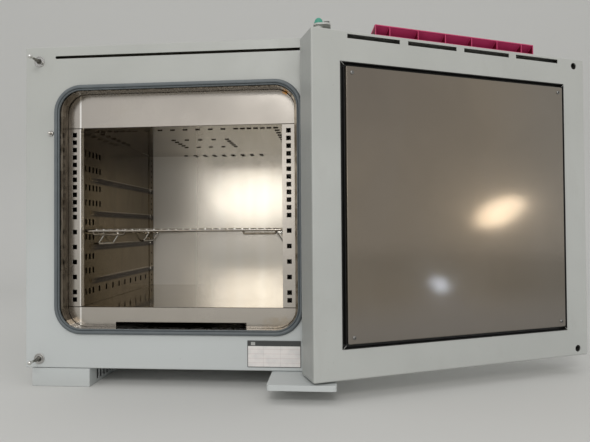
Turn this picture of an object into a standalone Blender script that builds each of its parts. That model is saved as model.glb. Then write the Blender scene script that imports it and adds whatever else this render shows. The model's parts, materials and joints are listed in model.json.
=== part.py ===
"""Laboratory oven with its door swung open, built piece by piece.

Everything is drawn in metres in the cabinet's own frame, with the door shut: x to the right, y to the
rear from the cabinet's front face, z up from the bench. The carriers at the end of the sizes then turn
the door to its open rest position and move the origin under the middle of the whole oven.
"""

import math

import bmesh
import bpy
from mathutils import Matrix, Vector

for old in list(bpy.data.objects):
    bpy.data.objects.remove(old, do_unlink=True)

# General
SHEET = 0.0014
FIT_GAP = 0.0003
OVERRUN = 0.002
CORNER_STEPS = 5
ROUND_SIDES = 20
SMALL_SIDES = 12
WIRE_SIDES = 6

# Chamber, from the inside outwards
CHAMBER_WIDTH = 0.406
CHAMBER_HEIGHT = 0.3572
CHAMBER_DEPTH = 0.3967
UPRIGHT_WIDTH = 0.0260
TOP_FASCIA_HEIGHT = 0.0681
BOTTOM_FASCIA_HEIGHT = 0.0397
FASCIA_SET_BACK = 0.0217
MOUTH_RADIUS = 0.038
LINER_WALL = 0.0012
PANEL_SHEET = 0.0010

# Cabinet round the chamber
FOOT_HEIGHT = 0.036
MARGIN_SIDE = 0.076
MARGIN_TOP = 0.0915
MARGIN_LOW = 0.0765
INSULATION_AIR = 0.019
INSULATION_REAR = 0.050
MOTOR_SPACE = 0.0475
REAR_SPACE = 0.0901

BASE_Z = FOOT_HEIGHT
MOUTH_LOW_Z = BASE_Z + MARGIN_LOW
FLOOR_Z = MOUTH_LOW_Z + BOTTOM_FASCIA_HEIGHT
CEILING_Z = FLOOR_Z + CHAMBER_HEIGHT
MOUTH_HIGH_Z = CEILING_Z + TOP_FASCIA_HEIGHT
TOP_Z = MOUTH_HIGH_Z + MARGIN_TOP
MOUTH_MID_Z = (MOUTH_LOW_Z + MOUTH_HIGH_Z) / 2
MOUTH_HALF_HEIGHT = (MOUTH_HIGH_Z - MOUTH_LOW_Z) / 2
CHAMBER_HALF = CHAMBER_WIDTH / 2
MOUTH_HALF = CHAMBER_HALF + UPRIGHT_WIDTH
HALF_WIDTH = MOUTH_HALF + MARGIN_SIDE
LINER_DEPTH = FASCIA_SET_BACK + CHAMBER_DEPTH
LINER_TOP_Z = MOUTH_HIGH_Z + LINER_WALL
LINER_LOW_Z = MOUTH_LOW_Z - LINER_WALL
INSULATION_REAR_Y = LINER_DEPTH + LINER_WALL + FIT_GAP + INSULATION_REAR
CABINET_DEPTH = INSULATION_REAR_Y + REAR_SPACE
INSULATION_TOP_Z = TOP_Z - SHEET - MOTOR_SPACE

# Front frame and rear cover, two folded trays that close the casing
FRONT_RIM_DEPTH = 0.022
REAR_RIM_DEPTH = 0.014
AIR_SLOT_INSET = 0.061
AIR_SLOT_HEIGHT = 0.0056
AIR_SLOT_DROP = 0.022
LOUVRE_COUNT = 9
LOUVRE_WIDTH = 0.150
LOUVRE_SPREAD = 0.093
LOUVRE_HEIGHT = 0.004
LOUVRE_PITCH = 0.014
LOUVRE_RISE = 0.060

# Seal round the mouth, with the liner's flange behind it
SEAL_HALF_WIDTH_STEP = 0.0063
SEAL_HALF_HEIGHT_STEP = 0.0021
SEAL_SHIFT_Z = 0.0015
SEAL_RADIUS = 0.0450
SEAL_WIDTH = 0.0094
SEAL_PROUD = 0.0062
SEAL_ROOT = 0.006
SEAL_LIP = 0.0016
SEAL_CROWN_SHARES = ((0.0, 0.55), (0.22, 0.88), (0.5, 1.0), (0.78, 0.86), (1.0, 0.40))

SEAL_HALF = MOUTH_HALF + SEAL_HALF_WIDTH_STEP
SEAL_HALF_HEIGHT = MOUTH_HALF_HEIGHT + SEAL_HALF_HEIGHT_STEP
SEAL_Z = MOUTH_MID_Z + SEAL_SHIFT_Z
FRAME_OPENING_STEP = SEAL_WIDTH - SEAL_LIP + FIT_GAP

# Uprights, fascias and rear strips
UPRIGHT_FOLD = 0.012
HOLE_PITCH = 0.015
HOLE_SIZE = 0.009
FIRST_HOLE_DROP = 0.0128
HOLE_STEPS = (0, 1, 2, 3, 4, 5, 6, 7, 8, 9, 10, 11, 13, 15, 17, 19, 21, 22)
REAR_STRIP_WIDTH = 0.030
REAR_HOLE_SIZE = 0.005
FASCIA_SLOT_WIDTH = 0.262
FASCIA_SLOT_HEIGHT = 0.010
FASCIA_RADIUS_STEP = 0.001

UPRIGHT_HOLE_X = CHAMBER_HALF + UPRIGHT_WIDTH / 2
WALL_FRONT_Y = FASCIA_SET_BACK + UPRIGHT_FOLD + FIT_GAP
WALL_REAR_Y = LINER_DEPTH - FIT_GAP

# Slots and pressed ribs of the side walls
WALL_SLOT_LENGTH = 0.007
WALL_SLOT_HEIGHT = 0.012
WALL_SLOT_PITCH = 0.015
FIRST_SLOT_STEP = 0.0085
WIDE_ROW_DROPS = (0.0464, 0.0779, 0.1159, 0.1474)
NARROW_ROW_DROPS = (0.1874, 0.2184, 0.2584, 0.2874)
WIDE_ROW_SLOTS = 5
NARROW_ROW_SLOTS = 3
LOW_ROW_RISE = 0.0278
LOW_ROW_STEP = 0.0660
LOW_ROW_PITCH = 0.0325
RIB_PITCH = 0.0706
RIB_DROP = 0.0967
RIB_HEIGHT = 0.008
RIB_PROUD = 0.0022
RIB_STEP = 0.026

# Slots of the ceiling, and the fan's intake in its middle
CEILING_SLOT_LENGTH = 0.010
CEILING_SLOT_WIDTH = 0.004
CEILING_FRONT_STEP = 0.0333
CEILING_REAR_STEP = 0.0104
CEILING_WIDE_PITCH = 0.0263
CEILING_WIDE_SLOTS = 9
CEILING_TIGHT_PITCH = 0.0136
CEILING_TIGHT_SLOTS = 6
INTAKE_HALF_WIDTH = 0.062
INTAKE_HALF_DEPTH = 0.050
INTAKE_SLOTS = 5

# Wire shelf and its clips
SHELF_DROP = 0.2019
SHELF_SIDE_GAP = 0.005
SHELF_FRONT_STEP = 0.0183
SHELF_REAR_STEP = 0.0104
SHELF_WIRE_RADIUS = 0.0015
SHELF_FRAME_RADIUS = 0.0025
SHELF_WIRE_COUNT = 25
SHELF_BED = 0.0010
STOP_BAR_LENGTH = 0.070
STOP_BAR_INSET = 0.008
STOP_BAR_DROP = 0.0100
CLIP_RADIUS = 0.0018
CLIP_REACH = 0.016
CLIP_SPAN = 0.070
CLIP_DROP = 0.022
CLIP_FRONT_STEP = 0.046

CHAMBER_MID_Y = (FASCIA_SET_BACK + LINER_DEPTH) / 2
SHELF_TOP_Z = CEILING_Z - SHELF_DROP
SHELF_FRAME_Z = SHELF_TOP_Z - 2 * SHELF_WIRE_RADIUS + SHELF_BED - SHELF_FRAME_RADIUS
SHELF_HALF_WIDTH = CHAMBER_HALF - SHELF_SIDE_GAP
SHELF_FRONT_Y = FASCIA_SET_BACK + SHELF_FRONT_STEP
SHELF_REAR_Y = LINER_DEPTH - SHELF_REAR_STEP
FRONT_CLIP_Y = SHELF_FRONT_Y + CLIP_FRONT_STEP
REAR_CLIP_Y = SHELF_REAR_Y - CLIP_SPAN

# Feet
FOOT_WIDTH = 0.117
FOOT_INSET = 0.0135
FOOT_REAR_STEP = 0.060
FOOT_SHEET = 0.0015
FOOT_SLOT_COUNT = 6
FOOT_SLOT_PITCH = 0.014
FOOT_SLOT_LENGTH = 0.008
FOOT_SLOT_STEP = 0.030
FOOT_SLOT_MARGIN = 0.007

FOOT_LENGTH = CABINET_DEPTH - FOOT_REAR_STEP

# Door
DOOR_SIDE_STEP = 0.002
DOOR_LIFT = 0.0033
DOOR_DROP = 0.0142
DOOR_THICKNESS = 0.060
DOOR_GAP = 0.012
DOOR_OPEN_ANGLE = math.radians(202.4)
HINGE_INSET = 0.027
HINGE_FORWARD = 0.045
DOOR_SHEET = 0.0012
DOOR_RIGHT_X = HALF_WIDTH
DOOR_LEFT_X = -HALF_WIDTH + DOOR_SIDE_STEP
DOOR_MID_X = (DOOR_LEFT_X + DOOR_RIGHT_X) / 2
DOOR_LOW_Z = BASE_Z + DOOR_LIFT
DOOR_TOP_Z = TOP_Z - DOOR_DROP
DOOR_MID_Z = (DOOR_LOW_Z + DOOR_TOP_Z) / 2
DOOR_INNER_Y = -DOOR_GAP
DOOR_OUTER_Y = -DOOR_GAP - DOOR_THICKNESS
HINGE_X = HALF_WIDTH - HINGE_INSET
HINGE_Y = -HINGE_FORWARD

PLUG_SIDE_STEP = 0.0057
PLUG_END_STEP = 0.0096
PLUG_PROUD = 0.0055
PLUG_RADIUS = 0.003
CHANNEL_WIDTH = 0.0092
CHANNEL_DEPTH = 0.012
CHANNEL_WALL = 0.0012
DOOR_SLOT_COUNT = 4
DOOR_SLOT_LENGTH = 0.105
DOOR_SLOT_PITCH = 0.1220
DOOR_SLOT_HEIGHT = 0.0078
DOOR_SLOT_DROP = 0.0095
DOOR_FILL_DEPTH = 0.042

PLUG_HALF = SEAL_HALF + PLUG_SIDE_STEP
PLUG_HALF_HEIGHT = SEAL_HALF_HEIGHT + PLUG_END_STEP

# Vent hood on the door's top edge
HOOD_WIDTH = 0.356
HOOD_SET_BACK = 0.0045
HOOD_DEPTH = 0.029
HOOD_HEIGHT = 0.0197
HOOD_WALL = 0.0016
HOOD_SLOPE_WALL = 0.0026
HOOD_RIB_COUNT = 6
HOOD_NOSE = 0.003

# Lock: two studs on the cabinet, a slide bar and a handle in the door
STUD_INSET = 0.0285
STUD_DROP = 0.0293
STUD_RISE = 0.0177
STUD_BASE_RADIUS = 0.0050
STUD_NECK_RADIUS = 0.0022
STUD_HEAD_RADIUS = 0.0042
STUD_HEAD_REACH = 0.0316
STUD_TAPER_REACH = 0.0185
STUD_HEAD_STEPS = 8
SEAT_RADIUS = 0.0094
SEAT_SHEET = 0.0015
SEAT_CHAMFER = 0.0008
LOCK_HOLE_RADIUS = 0.0070
LOCK_BUSH_RADIUS = 0.0095
LOCK_BUSH_DEPTH = 0.0080
BAR_WIDTH = 0.020
BAR_SHEET = 0.0030
KEYHOLE_RADIUS = 0.0054
KEYHOLE_NECK = 0.0028
CRANK_RADIUS = 0.0145
CRANK_PIN_RADIUS = 0.0030
CRANK_SLOT_GAP = 0.0007
CRANK_WALL = 0.0030
CRANK_ARM_WIDTH = 0.0090
HANDLE_ANGLE = math.radians(40.0)
SHAFT_RADIUS = 0.0050
SHAFT_GAP = 0.0005
HUB_RADIUS = 0.015
HUB_DEPTH = 0.036
HUB_TAPER = 0.0036
LEVER_LENGTH = 0.150
LEVER_WIDTH = 0.024
LEVER_THICKNESS = 0.014
LEVER_ROUND = 0.0105
LEVER_CHAMFER = 0.0028

STUD_X = -HALF_WIDTH + STUD_INSET
STUD_HEIGHTS = {"upper": TOP_Z - STUD_DROP, "lower": BASE_Z + STUD_RISE}
BAR_TRAVEL = CRANK_RADIUS * math.sin(HANDLE_ANGLE)
BAR_LOW_Z = DOOR_LOW_Z + DOOR_SHEET + BAR_TRAVEL + 2 * FIT_GAP
BAR_HIGH_Z = DOOR_TOP_Z - DOOR_SHEET - 2 * FIT_GAP
BAR_FRONT_Y = DOOR_INNER_Y - DOOR_SHEET - LOCK_BUSH_DEPTH - FIT_GAP
BAR_BACK_Y = BAR_FRONT_Y - BAR_SHEET
HANDLE_X = STUD_X + CRANK_RADIUS
HANDLE_Z = DOOR_MID_Z

# Control console on the door's outer side
CONSOLE_WIDTH = 0.380
CONSOLE_HEIGHT = 0.142
CONSOLE_DROP = 0.0050
CONSOLE_DEPTH = 0.024
CONSOLE_EDGE_DEPTH = 0.015
CONSOLE_SHOULDER = 0.012
CONSOLE_WALL = 0.0025
WINDOW_WIDTH = 0.110
WINDOW_HEIGHT = 0.046
WINDOW_X = 0.060
WINDOW_RISE = 0.018
WINDOW_THICKNESS = 0.0020
WINDOW_BED = 0.0016
KEY_COUNT = 3
KEY_WIDTH = 0.018
KEY_HEIGHT = 0.011
KEY_ROUND = 0.00275
KEY_PITCH = 0.034
KEY_DROP = 0.036
KEY_PROUD = 0.0030
KEY_TRAVEL = 0.0020
KEY_GAP = 0.0004
KEY_BED = 0.0045
DIAL_X = -0.065
DIAL_RADIUS = 0.017
DIAL_GRIP_RADIUS = 0.0132
DIAL_SKIRT = 0.0045
DIAL_HEIGHT = 0.014
DIAL_SPINDLE_RADIUS = 0.003
SWITCH_X = -0.135
SWITCH_WIDTH = 0.020
SWITCH_HEIGHT = 0.030
SWITCH_DEPTH = 0.007
SWITCH_GAP = 0.0012
SWITCH_ARC = 0.026
SWITCH_PROUD = 0.0020
SWITCH_STEPS = 3
SWITCH_THROW = math.radians(16.0)
BOARD_SHEET = 0.0016

CONSOLE_HIGH_Z = DOOR_TOP_Z - CONSOLE_DROP
CONSOLE_LOW_Z = CONSOLE_HIGH_Z - CONSOLE_HEIGHT
CONSOLE_MID_Z = (CONSOLE_LOW_Z + CONSOLE_HIGH_Z) / 2
CONSOLE_BACK_Y = DOOR_OUTER_Y - FIT_GAP
CONSOLE_FACE_Y = CONSOLE_BACK_Y - CONSOLE_DEPTH

# Hinges
LOWER_PLATE_WIDTH = 0.1215
LOWER_PLATE_FORWARD = 0.0375
LOWER_PLATE_REAR_Y = 0.055
LOWER_PLATE_SHEET = 0.0100
LOWER_PLATE_RADIUS = 0.0055
PIN_RADIUS = 0.0055
PIN_COLLAR_RADIUS = 0.0085
PIN_REACH = 0.015
PIN_GAP = 0.0004
PIN_BED = 0.0010
UPPER_PLATE_LEFT = 0.0095
UPPER_PLATE_RIGHT = 0.0215
UPPER_PLATE_FORWARD = 0.012
UPPER_PLATE_REAR_Y = 0.062
UPPER_PLATE_SHEET = 0.0030
UPPER_PLATE_RADIUS = 0.0090
CAP_RADIUS = 0.0083
CAP_HEIGHT = 0.0125
CAP_DOME = 0.0062
CABLE_GUIDE_STEP = 0.0100
CABLE_GUIDE_HEIGHT = 0.0045
CABLE_GUIDE_ROUND = 0.0015
CABLE_COVER_WALL = 0.0018

LOWER_PLATE_LEFT_X = HALF_WIDTH - LOWER_PLATE_WIDTH
LOWER_PLATE_FRONT_Y = HINGE_Y - LOWER_PLATE_FORWARD

# Fan, heaters, probe and exhaust round the chamber
FAN_RADIUS = 0.062
FAN_HUB_RADIUS = 0.0124
FAN_WALL = 0.0020
FAN_BLADE_SHEET = 0.0010
FAN_RISE = 0.0076
FAN_BLADE_HEIGHT = 0.020
FAN_BLADE_INNER = 0.031
FAN_BLADE_RIM = 0.002
FAN_BLADES = 8
FAN_SHAFT_RADIUS = 0.0040
FAN_BORE_GAP = 0.0020
MOTOR_RADIUS = 0.038
MOTOR_HEIGHT = 0.042
MOTOR_BORE_DEPTH = 0.030
MOTOR_SHOULDER = 0.006
HEATER_RADIUS = 0.0040
HEATER_BEND = 0.010
HEATER_REACH = 0.105
HEATER_RISE = 0.020
HEATER_LEG_X = 0.030
LOW_HEATER_REACH = 0.158
PROBE_RADIUS = 0.0025
PROBE_LENGTH = 0.070
PROBE_X = -0.140
PROBE_RISE = 0.0356
DUCT_RADIUS = 0.0200
DUCT_WALL = 0.0016
DUCT_X = 0.130
DUCT_RISE = 0.0330
DUCT_PROUD = 0.006
FLAP_WALL = 0.0020
FLAP_GAP = 0.0010
FLAP_PIN_RADIUS = 0.0020
FLAP_PIN_BED = 0.010
FLAP_LEVER = 0.022
INLET_WIDTH = 0.048
INLET_HEIGHT = 0.028
INLET_DEPTH = 0.024
INLET_FLANGE = 0.0030
INLET_FLANGE_STEP = 0.004
INLET_POCKET = 0.016
INLET_WALL = 0.0028
INLET_INSET = 0.105
INLET_RISE = 0.074

FAN_Y = CHAMBER_MID_Y
FAN_LOW_Z = CEILING_Z + FAN_RISE
MOTOR_LOW_Z = INSULATION_TOP_Z + FIT_GAP
LOW_HEATER_Z = (MOUTH_LOW_Z + FLOOR_Z) / 2
DUCT_Z = CEILING_Z + DUCT_RISE
PROBE_Z = CEILING_Z + PROBE_RISE
FLAP_Y = CABINET_DEPTH - REAR_RIM_DEPTH - DUCT_RADIUS
INLET_X = -HALF_WIDTH + INLET_INSET
INLET_Z = BASE_Z + INLET_RISE

# Door switch and name plate
PLUNGER_INSET = 0.0521
PLUNGER_DROP = 0.1725
PLUNGER_RADIUS = 0.0032
PLUNGER_PROUD = 0.0085
PLUNGER_LENGTH = 0.024
PLUNGER_DOME = 0.0016
BEZEL_RADIUS = 0.0060
BEZEL_SHEET = 0.0015
BEZEL_CHAMFER = 0.0009
BARREL_RADIUS = 0.0050
BARREL_LENGTH = 0.034
PLATE_INSET = 0.0664
PLATE_WIDTH = 0.1020
PLATE_RISE = 0.0073
PLATE_HEIGHT = 0.0504
PLATE_SHEET = 0.0008

PLUNGER_X = -HALF_WIDTH + PLUNGER_INSET
PLUNGER_Z = TOP_Z - PLUNGER_DROP


def door_spot(x, y):
    """A place on the shut door, seen from above, once the door is open."""
    spot = Vector((x - HINGE_X, y - HINGE_Y, 0))
    spot.rotate(Matrix.Rotation(DOOR_OPEN_ANGLE, 3, "Z"))
    return spot.x + HINGE_X, spot.y + HINGE_Y


FREE_CORNER = door_spot(DOOR_LEFT_X, DOOR_INNER_Y)
HINGE_CORNER = door_spot(DOOR_RIGHT_X, DOOR_INNER_Y)
ORIGIN_X = (FREE_CORNER[0] - HALF_WIDTH) / 2
ORIGIN_Y = (HINGE_CORNER[1] + CABINET_DEPTH + DUCT_PROUD) / 2


def carrier(name, at, parent=None, parent_at=(0, 0, 0), turn=0.0):
    """An empty that carries pieces; its place is given in the cabinet's frame."""
    empty = bpy.data.objects.new(name, None)
    bpy.context.scene.collection.objects.link(empty)
    empty.location = Vector(at) - Vector(parent_at)
    empty.rotation_euler.z = turn
    empty.parent = parent
    return {"empty": empty, "at": Vector(at)}


def carried(name, at, parent, turn=0.0):
    return carrier(name, at, parent["empty"], parent["at"], turn)


ROOT = carrier("cabinet_frame", (0, 0, 0))
ROOT["empty"].location = (-ORIGIN_X, -ORIGIN_Y, 0)
DOOR = carried("door_axis", (HINGE_X, HINGE_Y, DOOR_LOW_Z), ROOT, DOOR_OPEN_ANGLE)
SHELF = carried("shelf_axis", (0, SHELF_FRONT_Y, SHELF_TOP_Z), ROOT)
FAN = carried("fan_axis", (0, FAN_Y, FAN_LOW_Z), ROOT)
FLAP = carried("flap_axis", (DUCT_X, FLAP_Y, DUCT_Z), ROOT)
PLUNGER = carried("plunger_axis", (PLUNGER_X, -PLUNGER_PROUD, PLUNGER_Z), ROOT)
HANDLE = carried("handle_axis", (HANDLE_X, DOOR_OUTER_Y, HANDLE_Z), DOOR)
BAR = carried("bar_axis", (STUD_X, BAR_FRONT_Y, HANDLE_Z), DOOR)
DIAL = carried("dial_axis", (DIAL_X, CONSOLE_FACE_Y, CONSOLE_MID_Z), DOOR)
SWITCH = carried("switch_axis", (SWITCH_X, CONSOLE_FACE_Y + SWITCH_DEPTH, CONSOLE_MID_Z), DOOR)


def finish(name, colour, roughness, metallic=0.0):
    made = bpy.data.materials.new(name)
    made.use_nodes = True
    shader = made.node_tree.nodes["Principled BSDF"]
    shader.inputs["Base Color"].default_value = (*colour, 1.0)
    shader.inputs["Roughness"].default_value = roughness
    shader.inputs["Metallic"].default_value = metallic
    made.diffuse_color = (*colour, 1.0)
    return made


PAINT = finish("light_grey_paint", (0.42, 0.43, 0.41), 0.45)
STEEL = finish("stainless_steel", (0.56, 0.52, 0.46), 0.28, 1.0)
DARK_STEEL = finish("heat_tinted_steel", (0.20, 0.16, 0.12), 0.35, 1.0)
CHROME = finish("polished_steel", (0.70, 0.69, 0.66), 0.12, 1.0)
SILICONE = finish("blue_grey_silicone", (0.14, 0.17, 0.18), 0.60)
BLACK = finish("black_plastic", (0.012, 0.012, 0.011), 0.55)
MAGENTA = finish("magenta_plastic", (0.46, 0.012, 0.075), 0.40)
TEAL = finish("teal_plastic", (0.05, 0.32, 0.22), 0.45)
GREY_PLASTIC = finish("dark_grey_plastic", (0.10, 0.105, 0.11), 0.50)
GLASS = finish("display_glass", (0.03, 0.035, 0.03), 0.08)
WHITE = finish("white_film", (0.62, 0.63, 0.60), 0.45)
WOOL = finish("mineral_wool", (0.42, 0.38, 0.24), 0.95)
BOARD = finish("circuit_board", (0.03, 0.12, 0.06), 0.50)


def place(name, shape, material, parent=ROOT, smooth=False):
    """Hand a finished bmesh over to a named object under its carrier."""
    bmesh.ops.remove_doubles(shape, verts=shape.verts, dist=FIT_GAP / 100)
    bmesh.ops.recalc_face_normals(shape, faces=shape.faces)
    mesh = bpy.data.meshes.new(name)
    shape.to_mesh(mesh)
    shape.free()
    if smooth:
        mesh.shade_smooth()
        mesh.set_sharp_from_angle(angle=math.radians(35))
    return hang(name, mesh, material, parent)


def hang(name, data, material, parent):
    thing = bpy.data.objects.new(name, data)
    data.materials.append(material)
    bpy.context.scene.collection.objects.link(thing)
    thing.parent = parent["empty"]
    thing.location = -parent["at"]
    return thing


def combine(target, tool_shape, operation, parent=ROOT):
    """Cut a shape out of a piece, or join it on, with a hidden tool object."""
    tool = place(target.name + "_tool", tool_shape, BLACK, parent)
    tool.hide_render = True
    tool.display_type = "WIRE"
    change = target.modifiers.new(operation.lower(), "BOOLEAN")
    change.operation = operation
    change.object = tool
    return target


def cut(target, *shapes, parent=ROOT):
    return combine(target, gather(shapes), "DIFFERENCE", parent)


def join(target, *shapes, parent=ROOT):
    return combine(target, gather(shapes), "UNION", parent)


def gather(shapes):
    """Several separate shapes as one bmesh."""
    whole = bmesh.new()
    for shape in shapes:
        mesh = bpy.data.meshes.new("part")
        shape.to_mesh(mesh)
        shape.free()
        whole.from_mesh(mesh)
        bpy.data.meshes.remove(mesh)
    return whole


def block(x, y, z):
    """A box from the low and high place on each axis."""
    shape = bmesh.new()
    bmesh.ops.create_cube(shape, size=1.0)
    size = Vector((x[1] - x[0], y[1] - y[0], z[1] - z[0]))
    centre = Vector((x[0] + x[1], y[0] + y[1], z[0] + z[1])) / 2
    bmesh.ops.scale(shape, vec=size, verts=shape.verts)
    bmesh.ops.translate(shape, vec=centre, verts=shape.verts)
    return shape


def between(a, b):
    """Two places on one axis, the low one first."""
    return min(a, b), max(a, b)


def about(centre, size):
    """The low and high place of a stretch about its middle."""
    return centre - size / 2, centre + size / 2


def round_edges(shape, axis, radius, steps=CORNER_STEPS, keep=lambda edge: True):
    """Round the edges that run along one axis."""
    edges = []
    for edge in shape.edges:
        run = (edge.verts[1].co - edge.verts[0].co).normalized()
        if abs(run[axis]) > 0.99 and keep(edge):
            edges.append(edge)
    bmesh.ops.bevel(
        shape, geom=edges, offset=radius, segments=steps, profile=0.5, affect="EDGES", material=-1)
    return shape


def hollow(shape, direction, wall, floor):
    """Sink the face that looks along direction, leaving a wall round it and a floor."""
    direction = Vector(direction)
    shape.normal_update()
    face = max(shape.faces, key=lambda f: (round(f.normal.dot(direction), 3), f.calc_area()))
    depths = [v.co.dot(direction) for v in shape.verts]
    bmesh.ops.inset_region(shape, faces=[face], thickness=wall, use_even_offset=True)
    deeper = bmesh.ops.extrude_face_region(shape, geom=[face])
    moved = [g for g in deeper["geom"] if isinstance(g, bmesh.types.BMVert)]
    drop = max(depths) - min(depths) - floor
    bmesh.ops.translate(shape, vec=-direction * drop, verts=moved)
    if face.is_valid:
        bmesh.ops.delete(shape, geom=[face], context="FACES_ONLY")
    return shape


def rod(start, end, radius, sides=SMALL_SIDES, end_radius=None):
    """A straight round bar or cone between two places."""
    start, end = Vector(start), Vector(end)
    shape = bmesh.new()
    bmesh.ops.create_cone(
        shape, cap_ends=True, segments=sides, radius1=radius,
        radius2=radius if end_radius is None else end_radius, depth=(end - start).length)
    turn = Vector((0, 0, 1)).rotation_difference(end - start).to_matrix().to_4x4()
    bmesh.ops.transform(shape, matrix=Matrix.Translation((start + end) / 2) @ turn, verts=shape.verts)
    return shape


def turned(profile, at, direction, sides=ROUND_SIDES):
    """Spin a profile of (distance, radius) places about an axis."""
    shape = bmesh.new()
    verts = [shape.verts.new((radius, 0, distance)) for distance, radius in profile]
    edges = [shape.edges.new(pair) for pair in zip(verts, verts[1:])]
    bmesh.ops.spin(
        shape, geom=verts + edges, cent=(0, 0, 0), axis=(0, 0, 1), angle=math.tau,
        steps=sides, use_merge=True)
    bmesh.ops.remove_doubles(shape, verts=shape.verts, dist=FIT_GAP / 100)
    turn = Vector((0, 0, 1)).rotation_difference(Vector(direction)).to_matrix().to_4x4()
    bmesh.ops.transform(shape, matrix=Matrix.Translation(at) @ turn, verts=shape.verts)
    return shape


def dome(length, radius, height, steps=5):
    """A profile with straight sides and an elliptical end."""
    profile = [(0, 0), (0, radius)]
    for i in range(steps + 1):
        angle = math.pi / 2 * i / steps
        profile.append((length - height + height * math.sin(angle), radius * math.cos(angle)))
    return profile


def tube(near, far, radius, wall):
    """The profile of an open pipe."""
    return [(near, radius), (far, radius), (far, radius + wall), (near, radius + wall), (near, radius)]


def prism(outline, axis, low, high):
    """A flat outline drawn in the two other axes, pushed along one axis."""
    shape = bmesh.new()
    verts = []
    for a, b in outline:
        spot = [a, b]
        spot.insert(axis, low)
        verts.append(shape.verts.new(spot))
    face = shape.faces.new(verts)
    pushed = bmesh.ops.extrude_face_region(shape, geom=[face], use_keep_orig=True)
    moved = [g for g in pushed["geom"] if isinstance(g, bmesh.types.BMVert)]
    step = Vector((0, 0, 0))
    step[axis] = high - low
    bmesh.ops.translate(shape, vec=step, verts=moved)
    return shape


def rounded_outline(half_width, half_height, radius, mid=(0, 0), steps=CORNER_STEPS):
    """The places of a rectangle with round corners, counter-clockwise."""
    places = []
    for corner, (side, up) in enumerate(((1, 1), (-1, 1), (-1, -1), (1, -1))):
        centre = (mid[0] + side * (half_width - radius), mid[1] + up * (half_height - radius))
        for i in range(steps + 1):
            angle = math.pi / 2 * (corner + i / steps)
            places.append((centre[0] + radius * math.cos(angle), centre[1] + radius * math.sin(angle)))
    return places


def frame_ring(profile, half_width, half_height, radius, mid_z, steps=CORNER_STEPS):
    """A closed ring round a rounded opening: profile places are (step outwards, y)."""
    shape = bmesh.new()
    loops = []
    for out, y in profile:
        if radius:
            outline = rounded_outline(half_width + out, half_height + out, radius + out, (0, mid_z), steps)
        else:
            w, h = half_width + out, half_height + out
            outline = [(w, mid_z + h), (-w, mid_z + h), (-w, mid_z - h), (w, mid_z - h)]
        loops.append([shape.verts.new((x, y, z)) for x, z in outline])
    for here, there in zip(loops, loops[1:] + loops[:1]):
        for i in range(len(here)):
            shape.faces.new((here[i - 1], here[i], there[i], there[i - 1]))
    return shape


def wire(name, places, radius, material, parent=ROOT, closed=False):
    """A bent round wire through a list of places."""
    curve = bpy.data.curves.new(name, "CURVE")
    curve.dimensions = "3D"
    curve.bevel_depth = radius
    curve.bevel_resolution = 1
    curve.use_fill_caps = True
    spline = curve.splines.new("POLY")
    spline.points.add(len(places) - 1)
    for point, spot in zip(spline.points, places):
        point.co = (*spot, 1.0)
    spline.use_cyclic_u = closed
    return hang(name, curve, material, parent)


def bend(places, radius, steps=3):
    """A route with its corners rounded by an arc of the given reach."""
    route = [Vector(places[0])]
    for before, corner, after in zip(places, places[1:], places[2:]):
        before, corner, after = Vector(before), Vector(corner), Vector(after)
        start = corner + (before - corner).normalized() * radius
        end = corner + (after - corner).normalized() * radius
        for i in range(steps + 1):
            t = i / steps
            route.append(start * (1 - t) ** 2 + corner * 2 * t * (1 - t) + end * t ** 2)
    route.append(Vector(places[-1]))
    return route


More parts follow.
